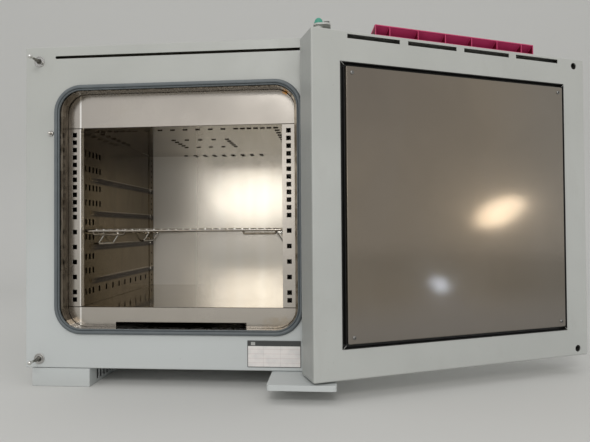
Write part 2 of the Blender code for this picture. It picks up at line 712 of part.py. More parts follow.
def build_casing():
    side_z = (BASE_Z, TOP_Z)
    front = block((-HALF_WIDTH, HALF_WIDTH), (0, FRONT_RIM_DEPTH), side_z)
    frame = place("front_frame", hollow(front, (0, 1, 0), SHEET, SHEET), PAINT)
    through = (-OVERRUN, SHEET + OVERRUN)
    opening = prism(
        rounded_outline(
            SEAL_HALF + FRAME_OPENING_STEP, SEAL_HALF_HEIGHT + FRAME_OPENING_STEP,
            SEAL_RADIUS + FRAME_OPENING_STEP, (0, SEAL_Z)), 1, *through)
    half_slot = AIR_SLOT_HEIGHT / 2
    slot = prism(
        rounded_outline(
            HALF_WIDTH - AIR_SLOT_INSET, half_slot, half_slot - FIT_GAP, (0, TOP_Z - AIR_SLOT_DROP), 2),
        1, *through)
    barrel = rod(
        (PLUNGER_X, through[0], PLUNGER_Z), (PLUNGER_X, through[1], PLUNGER_Z), BARREL_RADIUS + FIT_GAP)
    cut(frame, opening, slot, barrel)

    back_y = CABINET_DEPTH - REAR_RIM_DEPTH
    rear = block((-HALF_WIDTH, HALF_WIDTH), (back_y, CABINET_DEPTH), side_z)
    cover = place("rear_cover", hollow(rear, (0, -1, 0), SHEET, SHEET), PAINT)
    holes = []
    behind = (CABINET_DEPTH - SHEET - OVERRUN, CABINET_DEPTH + OVERRUN)
    for side in (-1, 1):
        for i in range(LOUVRE_COUNT):
            z = BASE_Z + LOUVRE_RISE + LOUVRE_PITCH * i
            x = about(side * LOUVRE_SPREAD, LOUVRE_WIDTH)
            if side > 0 or z > INLET_Z + INLET_HEIGHT:
                holes.append(block(x, behind, about(z, LOUVRE_HEIGHT)))
    holes.append(rod((DUCT_X, behind[0], DUCT_Z), (DUCT_X, behind[1], DUCT_Z),
                     DUCT_RADIUS + DUCT_WALL + FIT_GAP, ROUND_SIDES))
    holes.append(block(about(INLET_X, INLET_WIDTH + 2 * FIT_GAP), behind,
                       about(INLET_Z, INLET_HEIGHT + 2 * FIT_GAP)))
    cut(cover, *holes)

    inner_y = (FRONT_RIM_DEPTH + FIT_GAP, back_y - FIT_GAP)
    wrap = block((-HALF_WIDTH, HALF_WIDTH), inner_y, side_z)
    place("outer_casing", wrap, PAINT)
    inside = block(
        (-HALF_WIDTH + SHEET, HALF_WIDTH - SHEET), (inner_y[0] - OVERRUN, inner_y[1] + OVERRUN),
        (BASE_Z - OVERRUN, TOP_Z - SHEET))
    cut(bpy.data.objects["outer_casing"], inside)

    pan_half = HALF_WIDTH - SHEET - FIT_GAP
    pan = block((-pan_half, pan_half), inner_y, (BASE_Z, BASE_Z + FRONT_RIM_DEPTH / 2))
    place("base_pan", hollow(pan, (0, 0, 1), SHEET, SHEET), PAINT)


def build_feet():
    for name, side in (("left_foot", -1), ("right_foot", 1)):
        outer = side * (HALF_WIDTH - FOOT_INSET)
        inner = outer - side * FOOT_WIDTH
        x = between(outer, inner)
        shape = block(x, (0, FOOT_LENGTH), (0, FOOT_HEIGHT - FIT_GAP))
        foot = place(name, hollow(shape, (0, 0, 1), FOOT_SHEET, FOOT_SHEET), PAINT)
        wall_x = about(inner, 2 * (FOOT_SHEET + OVERRUN))
        slots = []
        for i in range(FOOT_SLOT_COUNT):
            y = FOOT_SLOT_STEP + LOWER_PLATE_REAR_Y * (side > 0) + FOOT_SLOT_PITCH * i
            slots.append(block(wall_x, (y, y + FOOT_SLOT_LENGTH),
                               (FOOT_SLOT_MARGIN, FOOT_HEIGHT - FOOT_SLOT_MARGIN)))
        if side > 0:
            slots.append(block(
                (LOWER_PLATE_LEFT_X - FIT_GAP, HALF_WIDTH), (-OVERRUN, LOWER_PLATE_REAR_Y + FIT_GAP),
                (FOOT_HEIGHT - LOWER_PLATE_SHEET - 2 * FIT_GAP, FOOT_HEIGHT + OVERRUN)))
        cut(foot, *slots)


def build_hinges():
    plate_z = (BASE_Z - FIT_GAP - LOWER_PLATE_SHEET, BASE_Z - FIT_GAP)
    shape = block((LOWER_PLATE_LEFT_X, HALF_WIDTH), (LOWER_PLATE_FRONT_Y, LOWER_PLATE_REAR_Y), plate_z)
    round_edges(shape, 2, LOWER_PLATE_RADIUS, 3)
    lower = place("lower_hinge_plate", shape, PAINT)
    root, shoulder, tip = plate_z[0] + PIN_BED, DOOR_LOW_Z - FIT_GAP, DOOR_LOW_Z + PIN_REACH
    join(lower, turned(
        [(root, 0), (root, PIN_COLLAR_RADIUS), (shoulder, PIN_COLLAR_RADIUS), (shoulder, PIN_RADIUS),
         (tip, PIN_RADIUS), (tip, 0)],
        (HINGE_X, HINGE_Y, 0), (0, 0, 1), SMALL_SIDES))

    top_z = (TOP_Z + FIT_GAP, TOP_Z + FIT_GAP + UPPER_PLATE_SHEET)
    x = (HINGE_X - UPPER_PLATE_LEFT, HINGE_X + UPPER_PLATE_RIGHT)
    plate_y = (HINGE_Y - UPPER_PLATE_FORWARD, UPPER_PLATE_REAR_Y)
    shape = block(x, plate_y, top_z)
    round_edges(shape, 2, UPPER_PLATE_RADIUS, 4)
    upper = place("upper_hinge_plate", shape, PAINT)
    root, shoulder, tip = top_z[1] - PIN_BED, DOOR_TOP_Z + FIT_GAP, DOOR_TOP_Z - PIN_REACH
    join(upper, turned(
        [(tip, 0), (tip, PIN_RADIUS), (shoulder, PIN_RADIUS), (shoulder, PIN_COLLAR_RADIUS),
         (root, PIN_COLLAR_RADIUS), (root, 0)],
        (HINGE_X, HINGE_Y, 0), (0, 0, 1), SMALL_SIDES))
    place("hinge_cap", turned(
        dome(CAP_HEIGHT, CAP_RADIUS, CAP_DOME),
        (HINGE_X, HINGE_Y, top_z[1] + FIT_GAP), (0, 0, 1), SMALL_SIDES), TEAL, smooth=True)

    guide_x = (HINGE_X + CABLE_GUIDE_STEP, x[1] - CABLE_COVER_WALL - 2 * FIT_GAP)
    guide_y = (plate_y[0] + UPPER_PLATE_RADIUS, plate_y[1] - UPPER_PLATE_RADIUS)
    guide_z = (top_z[1] + FIT_GAP, top_z[1] + FIT_GAP + CABLE_GUIDE_HEIGHT)
    guide = block(guide_x, guide_y, guide_z)
    place("cable_guide", round_edges(guide, 1, CABLE_GUIDE_ROUND, 2), BLACK)
    step = CABLE_COVER_WALL + 2 * FIT_GAP
    shape = block((guide_x[0] - FIT_GAP, x[1]), guide_y, (guide_z[0], guide_z[1] + step))
    round_edges(
        shape, 1, CABLE_GUIDE_HEIGHT, 4,
        lambda edge: edge.verts[0].co.z > guide_z[1] and edge.verts[0].co.x > guide_x[1])
    cover = place("cable_cover", shape, PAINT)
    cut(cover, block(
        (guide_x[0] - OVERRUN, guide_x[1] + FIT_GAP), (guide_y[0] - OVERRUN, guide_y[1] + OVERRUN),
        (guide_z[0] - OVERRUN, guide_z[1] + FIT_GAP)))


def build_liner():
    """Round-cornered steel box, with a flange at its mouth that the seal's root surrounds."""
    box = rounded_outline(
        MOUTH_HALF + LINER_WALL, MOUTH_HALF_HEIGHT + LINER_WALL, MOUTH_RADIUS + LINER_WALL, (0, MOUTH_MID_Z))
    liner = place("chamber_liner", prism(box, 1, 0, LINER_DEPTH + LINER_WALL), STEEL)
    lip = SEAL_LIP - FIT_GAP
    flange = rounded_outline(SEAL_HALF + lip, SEAL_HALF_HEIGHT + lip, SEAL_RADIUS + lip, (0, SEAL_Z))
    join(liner, prism(flange, 1, 0, LINER_WALL))
    room = rounded_outline(MOUTH_HALF, MOUTH_HALF_HEIGHT, MOUTH_RADIUS, (0, MOUTH_MID_Z))
    cut(liner, prism(room, 1, -OVERRUN, LINER_DEPTH))
    wall_y = (LINER_DEPTH - OVERRUN, LINER_DEPTH + LINER_WALL + OVERRUN)
    roof_z = (MOUTH_HIGH_Z - OVERRUN, LINER_TOP_Z + OVERRUN)
    cut(liner,
        rod((DUCT_X, wall_y[0], DUCT_Z), (DUCT_X, wall_y[1], DUCT_Z), DUCT_RADIUS, ROUND_SIDES),
        rod((0, FAN_Y, roof_z[0]), (0, FAN_Y, roof_z[1]), FAN_SHAFT_RADIUS + FAN_BORE_GAP))


def build_seal():
    """Silicone ring: a root in the frame's opening and a crowned face that the door meets."""
    root = (SEAL_LIP, SEAL_WIDTH - SEAL_LIP)
    profile = [(root[0], SEAL_ROOT), (root[0], -FIT_GAP), (0, -FIT_GAP)]
    profile += [(SEAL_WIDTH * across, -SEAL_PROUD * height) for across, height in SEAL_CROWN_SHARES]
    profile += [(SEAL_WIDTH, -FIT_GAP), (root[1], -FIT_GAP), (root[1], SEAL_ROOT)]
    ring = frame_ring(profile, SEAL_HALF, SEAL_HALF_HEIGHT, SEAL_RADIUS, SEAL_Z)
    place("door_gasket", ring, SILICONE, smooth=True)


def build_mouth():
    """Fascias and front uprights that frame the chamber."""
    fascia_y = (FASCIA_SET_BACK, FASCIA_SET_BACK + PANEL_SHEET)
    half = MOUTH_HALF - FIT_GAP
    radius = MOUTH_RADIUS + FASCIA_RADIUS_STEP
    upper = block((-half, half), fascia_y, (CEILING_Z, MOUTH_HIGH_Z - FIT_GAP))
    round_edges(upper, 1, radius, keep=lambda edge: edge.verts[0].co.z > CEILING_Z + FASCIA_SET_BACK)
    place("top_fascia", upper, STEEL)
    shape = block((-half, half), fascia_y, (MOUTH_LOW_Z + FIT_GAP, FLOOR_Z))
    round_edges(shape, 1, radius, keep=lambda edge: edge.verts[0].co.z < FLOOR_Z - FASCIA_SET_BACK / 2)
    lower = place("bottom_fascia", shape, STEEL)
    slot_z = (MOUTH_LOW_Z - OVERRUN, MOUTH_LOW_Z + FASCIA_SLOT_HEIGHT)
    cut(lower, block(about(0, FASCIA_SLOT_WIDTH), (fascia_y[0] - OVERRUN, fascia_y[1] + OVERRUN), slot_z))

    z = (FLOOR_Z + FIT_GAP, CEILING_Z - FIT_GAP)
    for name, side in (("left_front_upright", -1), ("right_front_upright", 1)):
        near, far = side * CHAMBER_HALF, side * half
        upright = place(name, block(between(near, far), fascia_y, z), STEEL)
        fold_y = (fascia_y[0], FASCIA_SET_BACK + UPRIGHT_FOLD)
        join(upright, block(between(near, near + side * PANEL_SHEET), fold_y, z))
        x = about(side * UPRIGHT_HOLE_X, HOLE_SIZE)
        through = (fascia_y[0] - OVERRUN, fascia_y[1] + OVERRUN)
        cut(upright, *[block(x, through, about(height, HOLE_SIZE)) for height in hole_heights()])


def hole_heights():
    """Middles of the shelf holes that lie between floor and ceiling."""
    heights = [CEILING_Z - FIRST_HOLE_DROP - HOLE_PITCH * step for step in HOLE_STEPS]
    return [height for height in heights if height > FLOOR_Z + HOLE_SIZE]


def wall_slot_places():
    """Middles (y, z) of a side wall's slots."""
    first = WALL_FRONT_Y + FIRST_SLOT_STEP
    low_z = FLOOR_Z + LOW_ROW_RISE
    rows = [(CEILING_Z - drop, WIDE_ROW_SLOTS) for drop in WIDE_ROW_DROPS]
    rows += [(CEILING_Z - drop, NARROW_ROW_SLOTS) for drop in NARROW_ROW_DROPS]
    places = []
    for z, count in rows:
        if z > low_z + 2 * WALL_SLOT_HEIGHT:
            places += [(first + WALL_SLOT_PITCH * i, z) for i in range(count)]
    places += [(first + WALL_SLOT_PITCH * i, low_z) for i in range(NARROW_ROW_SLOTS)]
    y = WALL_FRONT_Y + LOW_ROW_STEP
    while y < WALL_REAR_Y - REAR_STRIP_WIDTH - WALL_SLOT_LENGTH:
        places.append((y, low_z))
        y += LOW_ROW_PITCH
    return places


def build_walls():
    """Slotted and ribbed side walls, with a holed strip down each rear corner."""
    z = (FLOOR_Z + FIT_GAP, CEILING_Z - FIT_GAP)
    strip_y = (WALL_REAR_Y - REAR_STRIP_WIDTH, WALL_REAR_Y)
    for name, side in (("left", -1), ("right", 1)):
        face = side * CHAMBER_HALF
        back = face + side * PANEL_SHEET
        sheet = block(between(face, back), (WALL_FRONT_Y, WALL_REAR_Y), z)
        wall = place(name + "_side_wall", sheet, DARK_STEEL)
        ribs = []
        rib_z = CEILING_Z - RIB_DROP
        rib_y = (WALL_FRONT_Y + RIB_STEP, strip_y[0] - FIT_GAP)
        while rib_z > FLOOR_Z + LOW_ROW_RISE + RIB_HEIGHT:
            ribs.append(block(between(back, face - side * RIB_PROUD), rib_y, about(rib_z, RIB_HEIGHT)))
            rib_z -= RIB_PITCH
        join(wall, *ribs)
        through = between(face - side * OVERRUN, back + side * OVERRUN)
        cut(wall, *[block(through, about(y, WALL_SLOT_LENGTH), about(height, WALL_SLOT_HEIGHT))
                    for y, height in wall_slot_places()])
        front = face - side * FIT_GAP
        strip_x = between(front, front - side * PANEL_SHEET)
        strip = place(name + "_rear_strip", block(strip_x, strip_y, z), DARK_STEEL)
        hole_x = (strip_x[0] - OVERRUN, strip_x[1] + OVERRUN)
        hole_y = about((strip_y[0] + strip_y[1]) / 2, REAR_HOLE_SIZE)
        cut(strip, *[block(hole_x, hole_y, about(height, REAR_HOLE_SIZE)) for height in hole_heights()])


def build_floor_and_ceiling():
    """Plain floor, and a ceiling with slots along its edges and round the fan's intake."""
    span_y = (FASCIA_SET_BACK + PANEL_SHEET + FIT_GAP, WALL_REAR_Y)
    width = (-MOUTH_HALF + FIT_GAP, MOUTH_HALF - FIT_GAP)
    place("floor_panel", block(width, span_y, (FLOOR_Z - PANEL_SHEET, FLOOR_Z)), STEEL)
    ceiling = place("ceiling_panel", block(width, span_y, (CEILING_Z, CEILING_Z + PANEL_SHEET)), STEEL)
    front_y = FASCIA_SET_BACK + CEILING_FRONT_STEP
    rear_y = LINER_DEPTH - CEILING_REAR_STEP
    spots = []
    half_row = (CEILING_WIDE_SLOTS - 1) / 2
    for i in range(CEILING_WIDE_SLOTS):
        x = CEILING_WIDE_PITCH * (i - half_row)
        spots += [(x, front_y), (x, rear_y)]
    last = CEILING_WIDE_PITCH * half_row
    edge = last + CEILING_TIGHT_PITCH * CEILING_TIGHT_SLOTS
    for i in range(1, CEILING_TIGHT_SLOTS + 1):
        for side in (-1, 1):
            spots.append((side * (last + CEILING_TIGHT_PITCH * i), front_y))
            spots.append((side * edge, front_y + CEILING_WIDE_PITCH * i))
    for i in range(INTAKE_SLOTS):
        across = 2 * i / (INTAKE_SLOTS - 1) - 1
        for side in (-1, 1):
            spots.append((INTAKE_HALF_WIDTH * across, FAN_Y + side * INTAKE_HALF_DEPTH))
            if abs(across) < 1:
                spots.append((side * INTAKE_HALF_WIDTH, FAN_Y + INTAKE_HALF_DEPTH * across))
    through = (CEILING_Z - OVERRUN, CEILING_Z + PANEL_SHEET + OVERRUN)
    cut(ceiling, *[block(about(x, CEILING_SLOT_LENGTH), about(y, CEILING_SLOT_WIDTH), through)
                   for x, y in spots])


def build_shelf():
    """Wire shelf: a frame, the wires that lie in it from front to rear, and two bars under its front."""
    half = SHELF_HALF_WIDTH - SHELF_FRAME_RADIUS
    ends = (SHELF_FRONT_Y + SHELF_FRAME_RADIUS, SHELF_REAR_Y - SHELF_FRAME_RADIUS)
    frame_z = SHELF_FRAME_Z
    bars = []
    for y in ends:
        bar = ((-SHELF_HALF_WIDTH, y, frame_z), (SHELF_HALF_WIDTH, y, frame_z))
        bars.append(rod(*bar, SHELF_FRAME_RADIUS, WIRE_SIDES))
    shelf = place("wire_shelf", bars[0], CHROME, SHELF)
    run = (ends[0] - SHELF_BED, ends[1] + SHELF_BED)
    wires = []
    for x in (-half, half):
        side_wire = ((x, run[0], frame_z), (x, run[1], frame_z))
        wires.append(rod(*side_wire, SHELF_FRAME_RADIUS - FIT_GAP / 2, WIRE_SIDES))
    wire_z = SHELF_TOP_Z - SHELF_WIRE_RADIUS
    pitch = 2 * half / (SHELF_WIRE_COUNT + 1)
    for i in range(SHELF_WIRE_COUNT):
        x = pitch * (i - (SHELF_WIRE_COUNT - 1) / 2)
        wires.append(rod((x, run[0], wire_z), (x, run[1], wire_z), SHELF_WIRE_RADIUS, 4))
    join(shelf, *wires, parent=SHELF)

    bar_z = frame_z - STOP_BAR_DROP
    stops = [bars[1]]
    posts = []
    outer = SHELF_HALF_WIDTH - STOP_BAR_INSET
    inner = outer - STOP_BAR_LENGTH
    post_x = (inner + SHELF_FRAME_RADIUS, outer - SHELF_FRAME_RADIUS)
    for side in (-1, 1):
        bar = ((side * inner, ends[0], bar_z), (side * outer, ends[0], bar_z))
        stops.append(rod(*bar, SHELF_FRAME_RADIUS - FIT_GAP, WIRE_SIDES))
        for x in post_x:
            post = ((side * x, ends[0], bar_z), (side * x, ends[0], frame_z))
            posts.append(rod(*post, SHELF_WIRE_RADIUS, WIRE_SIDES))
    join(shelf, *stops, parent=SHELF)
    join(shelf, *posts, parent=SHELF)


def build_clips():
    """Bent wire clips on the side walls, two a side, that the shelf rests on."""
    top = SHELF_FRAME_Z - SHELF_FRAME_RADIUS - FIT_GAP - CLIP_RADIUS
    low = top - CLIP_DROP
    wall = CHAMBER_HALF - RIB_PROUD - FIT_GAP - CLIP_RADIUS
    for row, start in (("front", FRONT_CLIP_Y), ("rear", REAR_CLIP_Y)):
        for name, side in (("left", -1), ("right", 1)):
            out, inside, end = side * wall, side * (wall - CLIP_REACH), start + CLIP_SPAN
            route = [(out, start, top), (inside, start, top), (out, start, low),
                     (out, end, low), (inside, end, top), (out, end, top)]
            wire(row + "_" + name + "_shelf_clip", bend(route, CLIP_RADIUS * 2), CLIP_RADIUS, CHROME)


def build_jacket():
    """Mineral wool round the liner, with room for the seal, the door switch, the duct and the fan shaft."""
    half = HALF_WIDTH - SHEET - INSULATION_AIR
    low_z = BASE_Z + SHEET + INSULATION_AIR
    wool = block((-half, half), (SHEET + FIT_GAP, INSULATION_REAR_Y), (low_z, INSULATION_TOP_Z))
    jacket = place("insulation_jacket", wool, WOOL)
    side = MOUTH_HALF + LINER_WALL + FIT_GAP
    cavity = block(
        (-side, side), (-OVERRUN, LINER_DEPTH + LINER_WALL + FIT_GAP),
        (LINER_LOW_Z - FIT_GAP, LINER_TOP_Z + FIT_GAP))
    cut(jacket, round_edges(cavity, 1, MOUTH_RADIUS))
    seal_half = SEAL_HALF + FRAME_OPENING_STEP + FIT_GAP
    seal_rise = SEAL_HALF_HEIGHT + FRAME_OPENING_STEP + FIT_GAP
    cut(jacket, block((-seal_half, seal_half), (-OVERRUN, SEAL_ROOT + FIT_GAP), about(SEAL_Z, 2 * seal_rise)))
    barrel = 2 * (BARREL_RADIUS + FIT_GAP)
    cut(jacket,
        block(about(PLUNGER_X, barrel), (-OVERRUN, BARREL_LENGTH + OVERRUN), about(PLUNGER_Z, barrel)),
        rod((DUCT_X, LINER_DEPTH, DUCT_Z), (DUCT_X, INSULATION_REAR_Y + OVERRUN, DUCT_Z),
            DUCT_RADIUS + DUCT_WALL + FIT_GAP, ROUND_SIDES),
        rod((0, FAN_Y, MOUTH_HIGH_Z), (0, FAN_Y, INSULATION_TOP_Z + OVERRUN),
            FAN_SHAFT_RADIUS + FAN_BORE_GAP))


def build_fan():
    """Motor on the jacket, and the bladed wheel that hangs from its shaft over the ceiling."""
    bore = FAN_SHAFT_RADIUS + PIN_GAP
    place("fan_motor", turned(
        [(0, bore), (0, MOTOR_RADIUS), (MOTOR_HEIGHT - MOTOR_SHOULDER, MOTOR_RADIUS),
         (MOTOR_HEIGHT, MOTOR_RADIUS - MOTOR_SHOULDER), (MOTOR_HEIGHT, 0), (MOTOR_BORE_DEPTH, 0),
         (MOTOR_BORE_DEPTH, bore), (0, bore)],
        (0, FAN_Y, MOTOR_LOW_Z), (0, 0, 1)), BLACK, smooth=True)
    shaft_end = MOTOR_LOW_Z + MOTOR_BORE_DEPTH - MOTOR_SHOULDER - FAN_LOW_Z
    wheel = place("fan_wheel", turned(
        [(0, 0), (0, FAN_RADIUS), (FAN_WALL, FAN_RADIUS), (FAN_WALL, FAN_HUB_RADIUS),
         (FAN_BLADE_HEIGHT, FAN_HUB_RADIUS), (FAN_BLADE_HEIGHT, FAN_SHAFT_RADIUS),
         (shaft_end, FAN_SHAFT_RADIUS), (shaft_end, 0)],
        (0, FAN_Y, FAN_LOW_Z), (0, 0, 1)), STEEL, FAN, smooth=True)
    blades = []
    blade_z = (FAN_LOW_Z + FAN_WALL / 2, FAN_LOW_Z + FAN_WALL + FAN_BLADE_HEIGHT)
    for i in range(FAN_BLADES):
        blade = block((FAN_BLADE_INNER, FAN_RADIUS - FAN_BLADE_RIM), about(0, FAN_BLADE_SHEET), blade_z)
        turn = Matrix.Rotation(math.tau * i / FAN_BLADES, 4, "Z")
        bmesh.ops.transform(blade, matrix=Matrix.Translation((0, FAN_Y, 0)) @ turn, verts=blade.verts)
        blades.append(blade)
    join(wheel, *blades, parent=FAN)


def build_heaters():
    """Heater loops over the ceiling and under the floor, and the probe beside the duct."""
    roof = MOUTH_HIGH_Z - FIT_GAP
    high = roof - HEATER_RISE - 2 * HEATER_RADIUS
    back = FAN_Y + HEATER_REACH
    front = FAN_Y - HEATER_REACH
    leg = HEATER_LEG_X
    reach = HEATER_REACH
    route = [(-leg, back, roof), (-leg, back, high), (-reach, back, high), (-reach, front, high),
             (reach, front, high), (reach, back, high), (leg, back, high), (leg, back, roof)]
    wire("upper_heater", bend(route, HEATER_BEND), HEATER_RADIUS, DARK_STEEL)
    reach = LOW_HEATER_REACH
    low = LOW_HEATER_Z
    route = [(-leg, WALL_REAR_Y, low), (-leg, back, low), (-reach, back, low), (-reach, front, low),
             (reach, front, low), (reach, back, low), (leg, back, low), (leg, WALL_REAR_Y, low)]
    wire("lower_heater", bend(route, HEATER_BEND), HEATER_RADIUS, DARK_STEEL)
    probe = ((PROBE_X, WALL_REAR_Y - PROBE_LENGTH, PROBE_Z), (PROBE_X, WALL_REAR_Y, PROBE_Z))
    place("temperature_probe", rod(*probe, PROBE_RADIUS), CHROME, smooth=True)


def build_exhaust():
    """Duct from the liner's back through the rear cover, with a flap on a vertical spindle."""
    duct_y = (LINER_DEPTH + LINER_WALL + FIT_GAP, CABINET_DEPTH + DUCT_PROUD)
    pipe = turned(tube(*duct_y, DUCT_RADIUS, DUCT_WALL), (DUCT_X, 0, DUCT_Z), (0, 1, 0))
    duct = place("exhaust_duct", pipe, STEEL, smooth=True)
    pin_top = DUCT_Z + DUCT_RADIUS + DUCT_WALL
    cut(duct, rod((DUCT_X, FLAP_Y, DUCT_Z), (DUCT_X, FLAP_Y, pin_top + OVERRUN), FLAP_PIN_RADIUS + PIN_GAP))
    faces = about(FLAP_Y, FLAP_WALL)
    disc = rod((DUCT_X, faces[0], DUCT_Z), (DUCT_X, faces[1], DUCT_Z), DUCT_RADIUS - FLAP_GAP, ROUND_SIDES)
    flap = place("exhaust_flap", disc, STEEL, FLAP)
    pin_z = (DUCT_Z + DUCT_RADIUS - FLAP_PIN_BED, pin_top + 2 * FLAP_PIN_RADIUS)
    join(flap, rod((DUCT_X, FLAP_Y, pin_z[0]), (DUCT_X, FLAP_Y, pin_z[1]), FLAP_PIN_RADIUS), parent=FLAP)
    lever_z = (pin_top + FLAP_PIN_RADIUS, pin_top + 3 * FLAP_PIN_RADIUS)
    lever_x = (DUCT_X - FLAP_PIN_RADIUS, DUCT_X + FLAP_LEVER)
    join(flap, block(lever_x, about(FLAP_Y, 2 * FLAP_PIN_RADIUS), lever_z), parent=FLAP)


def build_inlet():
    """Mains inlet in the rear cover: a body, a flange outside and an open pocket for the plug."""
    body_y = (CABINET_DEPTH - INLET_DEPTH, CABINET_DEPTH + 2 * FIT_GAP)
    body = block(about(INLET_X, INLET_WIDTH), body_y, about(INLET_Z, INLET_HEIGHT))
    socket = place("mains_inlet", body, BLACK)
    far = CABINET_DEPTH + INLET_FLANGE
    join(socket, block(
        about(INLET_X, INLET_WIDTH + 2 * INLET_FLANGE_STEP), (CABINET_DEPTH + FIT_GAP, far),
        about(INLET_Z, INLET_HEIGHT + 2 * INLET_FLANGE_STEP)))
    cut(socket, block(
        about(INLET_X, INLET_WIDTH - 2 * INLET_WALL), (far - INLET_POCKET, far + OVERRUN),
        about(INLET_Z, INLET_HEIGHT - 2 * INLET_WALL)))


def build_studs():
    """Two ball-headed lock studs on the front frame, each on a thin ring seat."""
    bore = STUD_BASE_RADIUS + FIT_GAP
    start = math.asin(STUD_NECK_RADIUS / STUD_HEAD_RADIUS)
    for name, z in STUD_HEIGHTS.items():
        place("stud_seat_" + name, turned(
            [(0, bore), (0, SEAT_RADIUS), (SEAT_SHEET, SEAT_RADIUS - SEAT_CHAMFER),
             (SEAT_SHEET, bore), (0, bore)],
            (STUD_X, -FIT_GAP, z), (0, -1, 0)), STEEL, smooth=True)
        profile = [(FIT_GAP, 0), (FIT_GAP, STUD_BASE_RADIUS), (2 * SEAT_SHEET, STUD_BASE_RADIUS),
                   (STUD_TAPER_REACH, STUD_NECK_RADIUS)]
        for i in range(STUD_HEAD_STEPS):
            angle = start + (math.pi - start) * i / STUD_HEAD_STEPS
            reach = STUD_HEAD_REACH - STUD_HEAD_RADIUS * math.cos(angle)
            profile.append((reach, STUD_HEAD_RADIUS * math.sin(angle)))
        profile.append((STUD_HEAD_REACH + STUD_HEAD_RADIUS, 0))
        stud = turned(profile, (STUD_X, 0, z), (0, -1, 0), SMALL_SIDES)
        place("lock_stud_" + name, stud, CHROME, smooth=True)


def build_front_fittings():
    """Door switch with its plunger, and the name plate."""
    bore = PLUNGER_RADIUS + PIN_GAP
    place("door_switch", turned(
        [(-BEZEL_SHEET, bore), (-BEZEL_SHEET, BEZEL_RADIUS - BEZEL_CHAMFER), (0, BEZEL_RADIUS),
         (0, BARREL_RADIUS), (BARREL_LENGTH, BARREL_RADIUS), (BARREL_LENGTH, bore), (-BEZEL_SHEET, bore)],
        (PLUNGER_X, -FIT_GAP, PLUNGER_Z), (0, 1, 0), SMALL_SIDES), STEEL, smooth=True)
    root = PLUNGER_LENGTH - PLUNGER_PROUD
    place("switch_plunger", turned(
        dome(PLUNGER_LENGTH, PLUNGER_RADIUS, PLUNGER_DOME, 3),
        (PLUNGER_X, root, PLUNGER_Z), (0, -1, 0), SMALL_SIDES), CHROME, PLUNGER, smooth=True)
    right = HALF_WIDTH - PLATE_INSET
    low = BASE_Z + PLATE_RISE
    place("name_plate", block(
        (right - PLATE_WIDTH, right), (-FIT_GAP - PLATE_SHEET, -FIT_GAP), (low, low + PLATE_HEIGHT)), WHITE)


def build_door_shell():
    """Folded inner shell with its slots and two bushed lock holes, and the flat outer panel."""
    skin_y = DOOR_OUTER_Y + DOOR_SHEET + FIT_GAP
    tray = block((DOOR_LEFT_X, DOOR_RIGHT_X), (skin_y, DOOR_INNER_Y), (DOOR_LOW_Z, DOOR_TOP_Z))
    shell = place("door_inner_shell", hollow(tray, (0, -1, 0), DOOR_SHEET, DOOR_SHEET), PAINT, DOOR)
    bushes = []
    bores = []
    bush_y = (DOOR_INNER_Y - DOOR_SHEET / 2, DOOR_INNER_Y - DOOR_SHEET - LOCK_BUSH_DEPTH)
    for z in STUD_HEIGHTS.values():
        bushes.append(rod((STUD_X, bush_y[0], z), (STUD_X, bush_y[1], z), LOCK_BUSH_RADIUS, ROUND_SIDES))
        bore = ((STUD_X, DOOR_INNER_Y + OVERRUN, z), (STUD_X, bush_y[1] - OVERRUN, z))
        bores.append(rod(*bore, LOCK_HOLE_RADIUS, ROUND_SIDES))
    join(shell, *bushes, parent=DOOR)
    wall = (DOOR_INNER_Y - DOOR_SHEET - OVERRUN, DOOR_INNER_Y + OVERRUN)
    holes = [block(about(DOOR_MID_X, 2 * (PLUG_HALF + CHANNEL_WIDTH)), wall,
                   about(SEAL_Z, 2 * (PLUG_HALF_HEIGHT + CHANNEL_WIDTH)))]
    slot_z = about(DOOR_TOP_Z - DOOR_SLOT_DROP, DOOR_SLOT_HEIGHT)
    for i in range(DOOR_SLOT_COUNT):
        x = DOOR_MID_X + DOOR_SLOT_PITCH * (i - (DOOR_SLOT_COUNT - 1) / 2)
        holes.append(block(about(x, DOOR_SLOT_LENGTH), wall, slot_z))
    for z in (DOOR_LOW_Z, DOOR_TOP_Z):
        low, high = about(z, 2 * (DOOR_SHEET + OVERRUN))
        holes.append(rod((HINGE_X, HINGE_Y, low), (HINGE_X, HINGE_Y, high), PIN_RADIUS + PIN_GAP))
    cut(shell, *holes, *bores, parent=DOOR)

    panel_y = (DOOR_OUTER_Y, DOOR_OUTER_Y + DOOR_SHEET)
    sheet = block((DOOR_LEFT_X, DOOR_RIGHT_X), panel_y, (DOOR_LOW_Z, DOOR_TOP_Z))
    panel = place("door_outer_panel", sheet, PAINT, DOOR)
    bore = ((HANDLE_X, panel_y[0] - OVERRUN, HANDLE_Z), (HANDLE_X, panel_y[1] + OVERRUN, HANDLE_Z))
    cut(panel, rod(*bore, SHAFT_RADIUS + SHAFT_GAP), parent=DOOR)


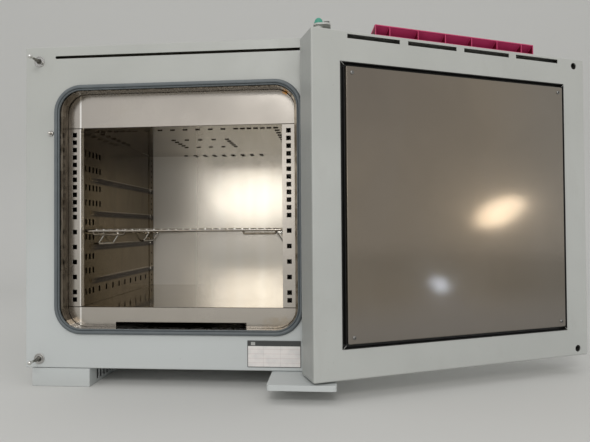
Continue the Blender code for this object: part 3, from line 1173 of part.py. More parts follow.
def build_door_plug():
    """Black channel round the raised steel panel, and the wool that fills the panel's back."""
    deep = DOOR_INNER_Y - CHANNEL_DEPTH
    near, far = FIT_GAP, CHANNEL_WIDTH - FIT_GAP
    lip = DOOR_INNER_Y
    inner_lip = lip - CHANNEL_WALL
    floor = deep + CHANNEL_WALL
    channel = frame_ring(
        [(near, inner_lip), (near, deep), (far, deep), (far, lip), (far - CHANNEL_WALL, lip),
         (far - CHANNEL_WALL, floor), (near + CHANNEL_WALL, floor), (near + CHANNEL_WALL, inner_lip)],
        PLUG_HALF, PLUG_HALF_HEIGHT, 0, SEAL_Z)
    bmesh.ops.translate(channel, vec=(DOOR_MID_X, 0, 0), verts=channel.verts)
    place("door_channel", channel, BLACK, DOOR)

    face_y = DOOR_INNER_Y + PLUG_PROUD
    plug = block(about(DOOR_MID_X, 2 * PLUG_HALF), (deep, face_y), about(SEAL_Z, 2 * PLUG_HALF_HEIGHT))
    round_edges(plug, 1, PLUG_RADIUS, 2)
    place("door_inner_panel", hollow(plug, (0, -1, 0), PANEL_SHEET, PANEL_SHEET), STEEL, DOOR)
    step = PANEL_SHEET + FIT_GAP
    fill_y = face_y - step
    fill = block(about(DOOR_MID_X, 2 * (PLUG_HALF - step)), (fill_y - DOOR_FILL_DEPTH, fill_y),
                 about(SEAL_Z, 2 * (PLUG_HALF_HEIGHT - step)))
    place("door_insulation", round_edges(fill, 1, PLUG_RADIUS, 2), WOOL, DOOR)


def build_hood():
    """Vent hood along the door's top edge, open to the inner side between its ribs."""
    front = DOOR_INNER_Y - HOOD_SET_BACK
    nose, rear = front - HOOD_NOSE, front - HOOD_DEPTH
    low, high = DOOR_TOP_Z + FIT_GAP, DOOR_TOP_Z + FIT_GAP + HOOD_HEIGHT
    inner_low = low + HOOD_WALL
    outline = [(front, low), (front, high), (nose, high), (rear, inner_low), (rear, low)]
    hood = place("vent_hood", prism(outline, 0, *about(DOOR_MID_X, HOOD_WIDTH)), MAGENTA, DOOR)
    mouth = [(front + OVERRUN, inner_low), (front + OVERRUN, high - HOOD_WALL),
             (nose, high - HOOD_SLOPE_WALL), (rear + 2 * HOOD_SLOPE_WALL, inner_low)]
    pitch = HOOD_WIDTH / HOOD_RIB_COUNT
    left = DOOR_MID_X - HOOD_WIDTH / 2
    edges = [left + HOOD_WALL / 2]
    edges += [left + pitch * (i + 1 / 2) for i in range(HOOD_RIB_COUNT)]
    edges.append(left + HOOD_WIDTH - HOOD_WALL / 2)
    cells = [prism(mouth, 0, a + HOOD_WALL / 2, b - HOOD_WALL / 2) for a, b in zip(edges, edges[1:])]
    cut(hood, *cells, parent=DOOR)


def build_lock_bar():
    """Slide bar: a keyhole for each stud, the lower one open below, and a slot for the crank pin."""
    span_z = (BAR_LOW_Z, BAR_HIGH_Z)
    bar = place("lock_bar", block(about(STUD_X, BAR_WIDTH), (BAR_BACK_Y, BAR_FRONT_Y), span_z), STEEL, BAR)
    y = (BAR_BACK_Y - OVERRUN, BAR_FRONT_Y + OVERRUN)
    pin_room = CRANK_PIN_RADIUS + CRANK_SLOT_GAP
    swing = CRANK_RADIUS * (1 - math.cos(HANDLE_ANGLE))
    slot_x = (STUD_X - pin_room, STUD_X + pin_room + swing)
    holes = [block(slot_x, y, about(HANDLE_Z, 2 * pin_room))]
    necks = []
    for z in STUD_HEIGHTS.values():
        holes.append(rod((STUD_X, y[0], z), (STUD_X, y[1], z), KEYHOLE_RADIUS))
        necks.append(block(about(STUD_X, 2 * KEYHOLE_NECK), y, (z, z + BAR_TRAVEL + KEYHOLE_NECK)))
    cut(bar, *holes, parent=BAR)
    cut(bar, *necks, parent=BAR)


def build_handle():
    """Hub with its lever outside the door, and the shaft, crank and pin inside it."""
    crank_y = (BAR_BACK_Y - FIT_GAP - CRANK_WALL, BAR_BACK_Y - FIT_GAP)
    near = DOOR_OUTER_Y - FIT_GAP
    shaft = near - crank_y[1]
    hub = place("door_handle", turned(
        [(shaft, 0), (shaft, SHAFT_RADIUS), (0, SHAFT_RADIUS), (0, HUB_RADIUS),
         (HUB_DEPTH - HUB_TAPER, HUB_RADIUS), (HUB_DEPTH, HUB_RADIUS - HUB_TAPER), (HUB_DEPTH, 0)],
        (HANDLE_X, near, HANDLE_Z), (0, -1, 0)), GREY_PLASTIC, HANDLE, smooth=True)
    arm = block((STUD_X - CRANK_PIN_RADIUS, HANDLE_X), crank_y, about(HANDLE_Z, CRANK_ARM_WIDTH))
    join(hub, arm, parent=HANDLE)
    pin = ((STUD_X, crank_y[0] + CRANK_WALL / 2, HANDLE_Z), (STUD_X, BAR_FRONT_Y, HANDLE_Z))
    join(hub, rod(*pin, CRANK_PIN_RADIUS), parent=HANDLE)
    lever_z = (HANDLE_Z - LEVER_LENGTH, HANDLE_Z + LEVER_WIDTH / 2)
    lever = block(about(HANDLE_X, LEVER_WIDTH), about(near - HUB_DEPTH, LEVER_THICKNESS), lever_z)
    round_edges(lever, 1, LEVER_ROUND, 4)
    round_edges(lever, 2, LEVER_CHAMFER, 1)
    join(hub, lever, parent=HANDLE)


KEY_Z = CONSOLE_MID_Z - KEY_DROP
KEY_SPOTS = [WINDOW_X + KEY_PITCH * (i - (KEY_COUNT - 1) / 2) for i in range(KEY_COUNT)]
CONSOLE_ROOM = CONSOLE_SHOULDER + CONSOLE_WALL
BOARD_Y = CONSOLE_FACE_Y + CONSOLE_WALL + KEY_BED


def build_console():
    """Console housing with its display window, and the control board behind it."""
    edge = CONSOLE_BACK_Y - CONSOLE_EDGE_DEPTH
    outline = [(CONSOLE_BACK_Y, CONSOLE_LOW_Z), (CONSOLE_BACK_Y, CONSOLE_HIGH_Z), (edge, CONSOLE_HIGH_Z),
               (CONSOLE_FACE_Y, CONSOLE_HIGH_Z - CONSOLE_SHOULDER),
               (CONSOLE_FACE_Y, CONSOLE_LOW_Z + CONSOLE_SHOULDER), (edge, CONSOLE_LOW_Z)]
    console = place(
        "control_console", prism(outline, 0, *about(DOOR_MID_X, CONSOLE_WIDTH)), GREY_PLASTIC, DOOR)
    pocket = block(
        about(DOOR_MID_X, CONSOLE_WIDTH - 2 * CONSOLE_WALL),
        (CONSOLE_FACE_Y + CONSOLE_WALL, CONSOLE_BACK_Y + OVERRUN),
        (CONSOLE_LOW_Z + CONSOLE_ROOM, CONSOLE_HIGH_Z - CONSOLE_ROOM))
    cut(console, pocket, parent=DOOR)
    front = (CONSOLE_FACE_Y - OVERRUN, CONSOLE_FACE_Y + CONSOLE_WALL + OVERRUN)
    sunk = (CONSOLE_FACE_Y - OVERRUN, CONSOLE_FACE_Y + WINDOW_BED)
    window_z = CONSOLE_MID_Z + WINDOW_RISE
    holes = [block(about(WINDOW_X, WINDOW_WIDTH + 2 * FIT_GAP), sunk,
                   about(window_z, WINDOW_HEIGHT + 2 * FIT_GAP))]
    key_z = about(KEY_Z, KEY_HEIGHT + 2 * KEY_GAP)
    holes += [block(about(x, KEY_WIDTH + 2 * KEY_GAP), front, key_z) for x in KEY_SPOTS]
    spindle = ((DIAL_X, front[0], CONSOLE_MID_Z), (DIAL_X, front[1], CONSOLE_MID_Z))
    holes.append(rod(*spindle, DIAL_SPINDLE_RADIUS + PIN_GAP))
    holes.append(block(about(SWITCH_X, SWITCH_WIDTH + 2 * FIT_GAP), front,
                       about(CONSOLE_MID_Z, SWITCH_HEIGHT + 2 * FIT_GAP)))
    cut(console, *holes, parent=DOOR)

    glass_y = CONSOLE_FACE_Y + WINDOW_BED - FIT_GAP
    glass = block(about(WINDOW_X, WINDOW_WIDTH), (glass_y - WINDOW_THICKNESS, glass_y),
                  about(window_z, WINDOW_HEIGHT))
    place("display_window", glass, GLASS, DOOR)
    board_z = (CONSOLE_LOW_Z + CONSOLE_ROOM + FIT_GAP, CONSOLE_HIGH_Z - CONSOLE_ROOM - FIT_GAP)
    board = block(about(WINDOW_X, WINDOW_WIDTH), (BOARD_Y, BOARD_Y + BOARD_SHEET), board_z)
    place("control_board", board, BOARD, DOOR)


def build_controls():
    """Set keys, limit dial and mains switch in the console."""
    for i, x in enumerate(KEY_SPOTS):
        key_carrier = carried("key_axis_" + str(i + 1), (x, CONSOLE_FACE_Y, KEY_Z), DOOR)
        key_y = (CONSOLE_FACE_Y - KEY_PROUD, BOARD_Y - KEY_TRAVEL - FIT_GAP)
        key = block(about(x, KEY_WIDTH), key_y, about(KEY_Z, KEY_HEIGHT))
        round_edges(key, 1, KEY_ROUND, 2)
        place("set_key_" + str(i + 1), key, BLACK, key_carrier)

    dial_y = CONSOLE_FACE_Y - FIT_GAP
    dial = place("limit_dial", turned(
        [(0, 0), (0, DIAL_RADIUS), (DIAL_SKIRT, DIAL_RADIUS), (DIAL_SKIRT, DIAL_GRIP_RADIUS),
         (DIAL_HEIGHT, DIAL_GRIP_RADIUS), (DIAL_HEIGHT, 0)],
        (DIAL_X, dial_y, CONSOLE_MID_Z), (0, -1, 0)), BLACK, DIAL, smooth=True)
    spindle_end = CONSOLE_FACE_Y + 2 * CONSOLE_WALL
    spindle = ((DIAL_X, dial_y - DIAL_SKIRT, CONSOLE_MID_Z), (DIAL_X, spindle_end, CONSOLE_MID_Z))
    join(dial, rod(*spindle, DIAL_SPINDLE_RADIUS), parent=DIAL)

    pivot = (SWITCH_X, CONSOLE_FACE_Y + SWITCH_DEPTH, CONSOLE_MID_Z)
    arc_y = CONSOLE_FACE_Y - SWITCH_PROUD + SWITCH_ARC
    swing = math.asin((SWITCH_HEIGHT / 2 - SWITCH_GAP) / SWITCH_ARC)
    outline = []
    for i in range(-SWITCH_STEPS, SWITCH_STEPS + 1):
        angle = swing * i / SWITCH_STEPS
        outline.append((arc_y - SWITCH_ARC * math.cos(angle), CONSOLE_MID_Z + SWITCH_ARC * math.sin(angle)))
    outline.append(pivot[1:])
    rocker = prism(outline, 0, *about(SWITCH_X, SWITCH_WIDTH - 2 * KEY_GAP))
    tilt = Matrix.Rotation(-SWITCH_THROW / 2, 3, "X")
    bmesh.ops.rotate(rocker, cent=pivot, matrix=tilt, verts=rocker.verts)
    place("mains_switch", rocker, BLACK, SWITCH)


build_casing()
build_feet()
build_hinges()
build_liner()
build_seal()
build_mouth()
build_walls()
build_floor_and_ceiling()
build_shelf()
build_clips()
build_jacket()
build_fan()
build_heaters()
build_exhaust()
build_inlet()
build_studs()
build_front_fittings()
build_door_shell()
build_door_plug()
build_hood()
build_lock_bar()
build_handle()
build_console()
build_controls()
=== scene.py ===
"""Finishes, detail pieces, lights and camera for the laboratory oven with its door swung open."""

import json
import math

import bmesh
import bpy
from mathutils import Matrix, Vector


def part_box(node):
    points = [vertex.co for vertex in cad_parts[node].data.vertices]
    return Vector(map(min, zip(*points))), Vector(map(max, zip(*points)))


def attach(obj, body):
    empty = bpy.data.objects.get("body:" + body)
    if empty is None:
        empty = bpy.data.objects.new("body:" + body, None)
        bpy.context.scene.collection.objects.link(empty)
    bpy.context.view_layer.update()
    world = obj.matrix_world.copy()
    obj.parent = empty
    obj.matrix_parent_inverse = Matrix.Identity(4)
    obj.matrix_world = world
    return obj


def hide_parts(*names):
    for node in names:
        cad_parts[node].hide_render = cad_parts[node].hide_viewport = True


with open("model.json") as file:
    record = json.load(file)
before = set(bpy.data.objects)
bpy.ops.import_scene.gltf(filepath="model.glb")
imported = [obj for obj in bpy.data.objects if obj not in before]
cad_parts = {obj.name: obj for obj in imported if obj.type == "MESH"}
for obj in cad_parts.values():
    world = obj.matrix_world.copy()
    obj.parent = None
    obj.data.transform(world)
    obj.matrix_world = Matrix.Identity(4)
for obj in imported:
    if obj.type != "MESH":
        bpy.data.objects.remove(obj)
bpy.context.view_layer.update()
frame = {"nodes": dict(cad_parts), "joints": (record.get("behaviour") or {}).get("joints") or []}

# Frames of reference: the cabinet's own, with the door shut, and the same turned with the open door
HINGE = next(joint for joint in frame["joints"] if joint["name"] == "door_hinge")
PIVOT = Vector(HINGE["pos_m"])
FRONT_LOW, FRONT_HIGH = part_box("front_frame")
CABINET = Matrix.Translation(((FRONT_LOW[0] + FRONT_HIGH[0]) / 2, FRONT_LOW[1], 0))
SWING = Matrix.Rotation(-math.radians(HINGE["range_deg"][0]), 4, "Z")
DOOR = Matrix.Translation(PIVOT) @ SWING @ Matrix.Translation(-PIVOT) @ CABINET

# Plates are drawn flat, facing up, and then stood up to face one way
FACING_FRONT = Matrix.Rotation(math.radians(90), 4, "X")
FACING_REAR = Matrix.Rotation(math.radians(180), 4, "Z") @ FACING_FRONT
FACING_RIGHT = Matrix.Rotation(math.radians(90), 4, "Z") @ FACING_FRONT
FACING_LEFT = Matrix.Rotation(math.radians(-90), 4, "Z") @ FACING_FRONT
FACING_UP = Matrix.Identity(4)

HAIR = 0.0003
SOFT_EDGE = 0.0005
SHEET_EDGE = 0.0003
FOLD_RADIUS = 0.0026
FOLD_STEPS = 4
CORNER_STEPS = 12
ROUND_SIDES = 36
SMOOTH_ANGLE = math.radians(34)
SHARP_ANGLE = math.radians(30)
REAR_SIDE = (1, 1)
FRONT_SIDE = (1, 0)
LOW_SIDE = (2, 0)
TOP_SIDE = (2, 1)

# Sizes of the detail pieces
FOOT_SHEET = 0.0015
FOOT_FOLD = 0.0014
TRAY_FOLD = 0.0030
SKIN_FOLD = 0.0006
CONSOLE_EDGE = 0.0012
KEY_EDGE = 0.0007
HOOD_EDGE = 0.0004
RIB_EDGE = 0.0017
PANEL_EDGE = 0.0022
SEAL_CORNER = 0.0544
SLOT_LIP = 0.0016
SLOT_LIP_SHEET = 0.0006
RIVET_INSET = 0.0045
RIVET_RADIUS = 0.0036
RIVET_HEIGHT = 0.0026
SEAT_RIM = 0.0012
SEAT_EDGE = 0.0008
SEAT_LIP = 0.0018
SEAT_DISH = 0.0024
SEAT_BEAD = 0.0002
STUD_BALL = 0.0042
STUD_NECK = 0.0022
STUD_BASE = 0.0050
STUD_BASE_HEIGHT = 0.0028
STUD_BASE_EDGE = 0.0006
STUD_TAPER_END = 0.0185
CAP_RIM_SHARE = 0.30
CAP_EDGE = 0.0004
CAP_STEP = 0.0009
SHELF_WIRE = 0.0015
SHELF_RAIL = 0.0025
SHELF_WIRES = 25
SHELF_WIRE_SINK = 0.0010
SHELF_WIRE_END = 0.0012
SHELF_RAIL_END = 0.0008
STOP_RISE = 0.0025
STOP_INSET = 0.008
STOP_LENGTH = 0.070
STOP_CORNER = 0.004
STOP_WIRE = 0.0021
CLIP_WIRE = 0.0018
PLATE_CORNER = 0.0012
SCREW_INSET = 0.0115
SCREW_RADIUS = 0.0036
SCREW_HEIGHT = 0.0021
MITRE_START = 0.0022
MITRE_END = 0.0078
MITRE_DEPTH = 0.0042
MITRE_LINE = 0.0004

# Colours that the finishes start from
PAINT_COLOUR = (0.450, 0.462, 0.440)
STEEL_COLOUR = (0.600, 0.560, 0.505)
BARE_STEEL = (0.55, 0.54, 0.52)
PAINTED_FOOT_SHEEN = (0.42, 0.40, 0.37)
BEHIND_PANEL_SHADE = (0.030, 0.024, 0.016)

# How far a grain is squeezed along x, y and z: it runs along the directions that have a one
UPRIGHT_GRAIN = (60, 60, 1)
LEVEL_GRAIN = (1, 60, 60)
DEEP_GRAIN = (60, 1, 60)
PRESSED_GRAIN = (1, 1, 60)
NO_GRAIN = (1, 1, 1)

# Heat stains on the fascia sheets and the depths at which the liner's tones change, in the cabinet's frame
UPPER_STAIN = (0.212, 0.021, 0.575)
LOWER_STAIN = (0.200, 0.021, 0.121)
MOUTH_START = 0.018
MOUTH_END = 0.026
REAR_WALL_START = 0.400
REAR_WALL_END = 0.404

# Soft lights: places and aims of the first two are in the cabinet's frame, powers are in watts
WINDOW_PLACE = (-0.33, -2.2, 0.56)
WINDOW_AIM = (0.05, 0.4, 0.40)
WINDOW_SIZE = (0.76, 0.42)
WINDOW_POWER = 1.75
FRONT_PLACE = (0.3, -2.3, 1.75)
FRONT_AIM = (0.0, 0.0, 0.33)
FRONT_SIZE = (1.2, 0.5)
FRONT_POWER = 18
HIGH_PLACE = (-0.3, -1.6, 3.1)
HIGH_SIZE = (2.2, 1.4)
HIGH_POWER = 5
GLOW_PLACE = (1.697, -0.870, 0.377)
GLOW_AIM = (0.363, -0.184, 0.335)
GLOW_SLANT = (0.167, 0.162, 0.121)
GLOW_SIZE = (0.23, 0.11)
GLOW_POWER = 0.62
SPARK_PLACE = (1.231, -0.894, 0.067)
SPARK_AIM = (0.236, -0.236, 0.199)
SPARK_SIZE = (0.025, 0.05)
SPARK_POWER = 0.085

# Stage and camera, the camera's place in the cabinet's frame and its angles in degrees
SURROUND = 0.72
SWEEP_COLOUR = (0.62, 0.62, 0.60)
SWEEP_FRONT = -4.0
SWEEP_CURVE_Y = 1.2
SWEEP_RADIUS = 0.9
SWEEP_HEIGHT = 3.6
SWEEP_SIDE = 5.0
CAMERA_PLACE = (0.3028, -0.9342, 0.3049)
CAMERA_YAW = 4.511
CAMERA_PITCH = 0.905
CAMERA_ROLL = -0.424
SENSOR_WIDTH = 36.0
PHOTO_WIDTH = 590
FOCAL_PIXELS = 495.18


def limits(shape):
    """Lowest and highest corner of a bmesh."""
    spots = [v.co for v in shape.verts]
    return Vector(map(min, zip(*spots))), Vector(map(max, zip(*spots)))


def copy_of(node, place=CABINET):
    """A CAD node's shape in the frame that it was drawn in, with its triangles joined up."""
    shape = bmesh.new()
    shape.from_mesh(frame["nodes"][node].data)
    bmesh.ops.transform(shape, matrix=place.inverted(), verts=shape.verts)
    bmesh.ops.remove_doubles(shape, verts=shape.verts, dist=HAIR / 20)
    bmesh.ops.dissolve_limit(
        shape, angle_limit=math.radians(1), verts=shape.verts, edges=shape.edges, delimit={"NORMAL"})
    return shape


def span(node, place=CABINET):
    """Lowest and highest corner of a CAD node in the frame that it was drawn in."""
    shape = copy_of(node, place)
    low, high = limits(shape)
    shape.free()
    return low, high


def bevel(shape, edges, radius, steps):
    bmesh.ops.bevel(
        shape, geom=edges, offset=radius, segments=steps, profile=0.5, affect="EDGES", material=-1,
        clamp_overlap=True)
    return shape


def soften(shape, radius=SOFT_EDGE, steps=2, angle=SHARP_ANGLE):
    """Round off every sharp edge a little."""
    edges = [edge for edge in shape.edges if edge.calc_face_angle(0) > angle]
    return bevel(shape, edges, radius, steps)


def fold(shape, radius=FOLD_RADIUS, steps=FOLD_STEPS, open_sides=()):
    """Round off the edges along the shape's outer box, apart from those on its open sides."""
    low, high = limits(shape)
    edges = []
    for edge in shape.edges:
        sides = 0
        for axis in range(3):
            for end, limit in enumerate((low[axis], high[axis])):
                near = all(abs(v.co[axis] - limit) < HAIR / 5 for v in edge.verts)
                sides += near and (axis, end) not in open_sides
        if sides > 1:
            edges.append(edge)
    return bevel(shape, edges, radius, steps)


def piece(name, shape, finish, body, place=CABINET, replaces=()):
    """Hand a finished shape over as a named piece that rides on a body."""
    bmesh.ops.transform(shape, matrix=place, verts=shape.verts)
    mesh = bpy.data.meshes.new(name)
    shape.to_mesh(mesh)
    shape.free()
    mesh.shade_smooth()
    mesh.set_sharp_from_angle(angle=SMOOTH_ANGLE)
    mesh.materials.append(finish.made)
    thing = bpy.data.objects.new(name, mesh)
    bpy.context.scene.collection.objects.link(thing)
    even = thing.modifiers.new("even_shading", "WEIGHTED_NORMAL")
    even.keep_sharp = True
    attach(thing, body)
    if replaces:
        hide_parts(*replaces)
    return thing


def keep(node, finish):
    """Give a CAD node its finish and leave its shape as it is."""
    thing = frame["nodes"][node]
    for slot in thing.material_slots:
        slot.material = finish.made


def gather(shapes):
    """Several shapes as one."""
    whole = bmesh.new()
    for shape in shapes:
        mesh = bpy.data.meshes.new("part")
        shape.to_mesh(mesh)
        shape.free()
        whole.from_mesh(mesh)
        bpy.data.meshes.remove(mesh)
    return whole


def stand(shape, facing, at):
    """Turn a flat-drawn shape to face one way and move it to its place."""
    bmesh.ops.transform(shape, matrix=Matrix.Translation(at) @ facing, verts=shape.verts)
    return shape


def rounded_plate(width, height, radius, steps=CORNER_STEPS):
    """A single flat face with round corners, facing up."""
    shape = bmesh.new()
    bmesh.ops.create_grid(shape, x_segments=1, y_segments=1, size=0.5)
    bmesh.ops.scale(shape, vec=(width, height, 1), verts=shape.verts)
    if radius:
        bmesh.ops.bevel(
            shape, geom=shape.verts[:], offset=radius, segments=steps, profile=0.5, affect="VERTICES",
            material=-1)
    return shape


def lift(shape, face, up):
    """Pull one face up and give the new face back."""
    pulled = bmesh.ops.extrude_face_region(shape, geom=[face])
    verts = [g for g in pulled["geom"] if isinstance(g, bmesh.types.BMVert)]
    bmesh.ops.translate(shape, vec=(0, 0, up), verts=verts)
    if face.is_valid:
        bmesh.ops.delete(shape, geom=[face], context="FACES_ONLY")
    return next(g for g in pulled["geom"] if isinstance(g, bmesh.types.BMFace))


def step_in(shape, face, steps):
    """Inset a face step by step; each step is (inwards, up)."""
    for inward, up in steps:
        if inward:
            bmesh.ops.inset_region(shape, faces=[face], thickness=inward, depth=up, use_even_offset=True)
        else:
            face = lift(shape, face, up)
    return face


def moulding(width, height, radius, steps, corner_steps=CORNER_STEPS):
    """A closed ring whose section is a list of (inwards, up) steps from its outer edge."""
    shape = rounded_plate(width, height, radius, corner_steps)
    shape.normal_update()
    face = step_in(shape, next(iter(shape.faces)), steps)
    bmesh.ops.delete(shape, geom=[face], context="FACES_ONLY")
    rims = [edge for edge in shape.edges if edge.is_boundary]
    bmesh.ops.bridge_loops(shape, edges=rims)
    bmesh.ops.recalc_face_normals(shape, faces=shape.faces)
    return shape


def slab(width, height, radius, thickness, edge=SOFT_EDGE, steps=2, corner_steps=6):
    """A flat block with round corners, its top edge softened, standing on z zero."""
    shape = rounded_plate(width, height, radius, corner_steps)
    shape.normal_update()
    base = bmesh.ops.duplicate(shape, geom=shape.verts[:] + shape.edges[:] + shape.faces[:])
    flipped = [g for g in base["geom"] if isinstance(g, bmesh.types.BMFace)]
    bmesh.ops.reverse_faces(shape, faces=flipped)
    face = next(f for f in shape.faces if f not in flipped)
    lift(shape, face, thickness)
    bmesh.ops.remove_doubles(shape, verts=shape.verts, dist=HAIR / 20)
    rim = [e for e in shape.edges if all(v.co.z > thickness - HAIR / 5 for v in e.verts)]
    bevel(shape, rim, edge, steps)
    bmesh.ops.recalc_face_normals(shape, faces=shape.faces)
    return shape


def turned(profile, sides=ROUND_SIDES):
    """Spin a profile of (height, radius) places about z."""
    shape = bmesh.new()
    verts = [shape.verts.new((radius, 0, height)) for height, radius in profile]
    edges = [shape.edges.new(pair) for pair in zip(verts, verts[1:])]
    bmesh.ops.spin(
        shape, geom=verts + edges, cent=(0, 0, 0), axis=(0, 0, 1), angle=math.tau, steps=sides,
        use_merge=True)
    bmesh.ops.remove_doubles(shape, verts=shape.verts, dist=HAIR / 50)
    bmesh.ops.recalc_face_normals(shape, faces=shape.faces)
    return shape


def arc(centre, radius, start, end, steps):
    """Places (height, radius) along a circle in a profile; angles in degrees from the axis."""
    places = []
    for i in range(steps + 1):
        angle = math.radians(start + (end - start) * i / steps)
        places.append((centre[0] + radius * math.cos(angle), centre[1] + radius * math.sin(angle)))
    return places


def bar(start, end, radius, sides=12):
    """A straight round bar between two places."""
    start, end = Vector(start), Vector(end)
    shape = bmesh.new()
    bmesh.ops.create_cone(
        shape, cap_ends=True, segments=sides, radius1=radius, radius2=radius, depth=(end - start).length)
    turn = Vector((0, 0, 1)).rotation_difference(end - start).to_matrix().to_4x4()
    bmesh.ops.transform(shape, matrix=Matrix.Translation((start + end) / 2) @ turn, verts=shape.verts)
    return shape


def bend(places, radius, steps=6):
    """A route with its corners rounded."""
    route = [Vector(places[0])]
    for before, corner, after in zip(places, places[1:], places[2:]):
        before, corner, after = Vector(before), Vector(corner), Vector(after)
        start = corner + (before - corner).normalized() * radius
        end = corner + (after - corner).normalized() * radius
        for i in range(steps + 1):
            t = i / steps
            route.append(start * (1 - t) ** 2 + corner * 2 * t * (1 - t) + end * t ** 2)
    route.append(Vector(places[-1]))
    return route


def wire(route, radius):
    """A bent round wire with closed ends."""
    curve = bpy.data.curves.new("wire", "CURVE")
    curve.dimensions = "3D"
    curve.bevel_depth = radius
    curve.bevel_resolution = 3
    curve.use_fill_caps = True
    spline = curve.splines.new("POLY")
    spline.points.add(len(route) - 1)
    for point, spot in zip(spline.points, route):
        point.co = (*spot, 1.0)
    holder = bpy.data.objects.new("wire", curve)
    bpy.context.scene.collection.objects.link(holder)
    mesh = bpy.data.meshes.new_from_object(holder.evaluated_get(bpy.context.evaluated_depsgraph_get()))
    shape = bmesh.new()
    shape.from_mesh(mesh)
    bmesh.ops.remove_doubles(shape, verts=shape.verts, dist=HAIR / 20)
    bpy.data.objects.remove(holder)
    bpy.data.curves.remove(curve)
    bpy.data.meshes.remove(mesh)
    return shape


def screw(facing, at, radius=0.0032, height=0.0018):
    """A round-headed screw with a socket in its head."""
    socket = radius * 0.42
    profile = [(0, radius), (height * 0.35, radius), (height * 0.8, radius * 0.78), (height, radius * 0.5),
               (height, socket), (height * 0.3, socket * 0.85), (height * 0.3, 0)]
    return stand(turned(profile, 18), facing, at)


class Finish:
    """One material, with short ways to lay patterns on its shader.

    Patterns are laid out in metres in the frame that the piece was drawn in.
    """

    def __init__(self, slot, name, colour, roughness, metallic=0.0, place=CABINET):
        self.slot = slot
        self.made = bpy.data.materials.new(name)
        self.made.use_nodes = True
        self.tree = self.made.node_tree
        self.shader = self.tree.nodes["Principled BSDF"]
        self.shader.inputs["Base Color"].default_value = (*colour, 1.0)
        self.shader.inputs["Roughness"].default_value = roughness
        self.shader.inputs["Metallic"].default_value = metallic
        self.made.diffuse_color = (*colour, 1.0)
        back = place.inverted()
        seat = self.add("Mapping", Location=back.translation, Rotation=back.to_euler())
        self.join(self.add("TexCoord").outputs["Object"], seat.inputs["Vector"])
        self.place = seat.outputs["Vector"]
        self.relief = None

    def add(self, kind, **values):
        node = self.tree.nodes.new("ShaderNode" + kind)
        for key, value in values.items():
            node.inputs[key].default_value = value
        return node

    def join(self, source, target):
        self.tree.links.new(source, target)

    def feed(self, socket, value):
        """Wire a pattern to a socket, or set a plain value on it."""
        if isinstance(value, bpy.types.NodeSocket):
            self.join(value, socket)
        elif isinstance(value, tuple):
            socket.default_value = (*value, 1.0)
        else:
            socket.default_value = value

    def noise(self, size, detail=3.0, stretch=(1, 1, 1), turn=(0, 0, 0), warp=0.0):
        """A cloudy pattern from 0 to 1 with patches of about the given size."""
        seat = self.add("Mapping", Scale=stretch, Rotation=turn)
        self.join(self.place, seat.inputs["Vector"])
        cloud = self.add("TexNoise", Scale=1 / size, Detail=detail, Distortion=warp)
        self.join(seat.outputs["Vector"], cloud.inputs["Vector"])
        return cloud.outputs["Fac"]

    def along(self, axis):
        """The place along one axis, in metres."""
        split = self.add("SeparateXYZ")
        self.join(self.place, split.inputs["Vector"])
        return split.outputs[axis]

    def sweep(self, value, low, high, start=0.0, end=1.0):
        """Spread a pattern from low..high over start..end, and hold it there."""
        node = self.add("MapRange")
        node.interpolation_type = "SMOOTHSTEP"
        self.feed(node.inputs["Value"], value)
        for key, number in (("From Min", low), ("From Max", high), ("To Min", start), ("To Max", end)):
            node.inputs[key].default_value = number
        return node.outputs["Result"]

    def maths(self, operation, first, second=0.0):
        node = self.add("Math")
        node.operation = operation
        self.feed(node.inputs[0], first)
        self.feed(node.inputs[1], second)
        return node.outputs["Value"]

    def times(self, first, second):
        return self.maths("MULTIPLY", first, second)

    def plus(self, first, second):
        return self.maths("ADD", first, second)

    def band(self, axis, at, width, soft=0.0005):
        """1 within a stretch of one axis, falling to 0 beside it."""
        off = self.maths("ABSOLUTE", self.maths("SUBTRACT", self.along(axis), at))
        return self.sweep(off, width / 2 - soft / 2, width / 2 + soft / 2, 1.0, 0.0)

    def spot(self, at, radius, stretch=(1, 1, 1)):
        """1 at a place, falling to 0 at the given distance."""
        seat = self.add("Mapping", Scale=stretch)
        self.join(self.place, seat.inputs["Vector"])
        away = self.add("VectorMath")
        away.operation = "DISTANCE"
        self.join(seat.outputs["Vector"], away.inputs[0])
        away.inputs[1].default_value = [a * s for a, s in zip(at, stretch)]
        return self.sweep(away.outputs["Value"], 0.0, radius, 1.0, 0.0)

    def mix(self, factor, first, second):
        node = self.add("Mix")
        node.data_type = "RGBA"
        self.feed(node.inputs[0], factor)
        self.feed(node.inputs[6], first)
        self.feed(node.inputs[7], second)
        return node.outputs[2]

    def colour(self, value):
        self.feed(self.shader.inputs["Base Color"], value)

    def rough(self, value):
        self.feed(self.shader.inputs["Roughness"], value)

    def bump(self, height, distance, strength=1.0):
        """Add relief; further calls lay more relief on top."""
        node = self.add("Bump", Distance=distance, Strength=strength)
        self.join(height, node.inputs["Height"])
        if self.relief:
            self.join(self.relief, node.inputs["Normal"])
        self.relief = node.outputs["Normal"]
        self.join(self.relief, self.shader.inputs["Normal"])


def shade(colour, factor):
    return tuple(channel * factor for channel in colour)


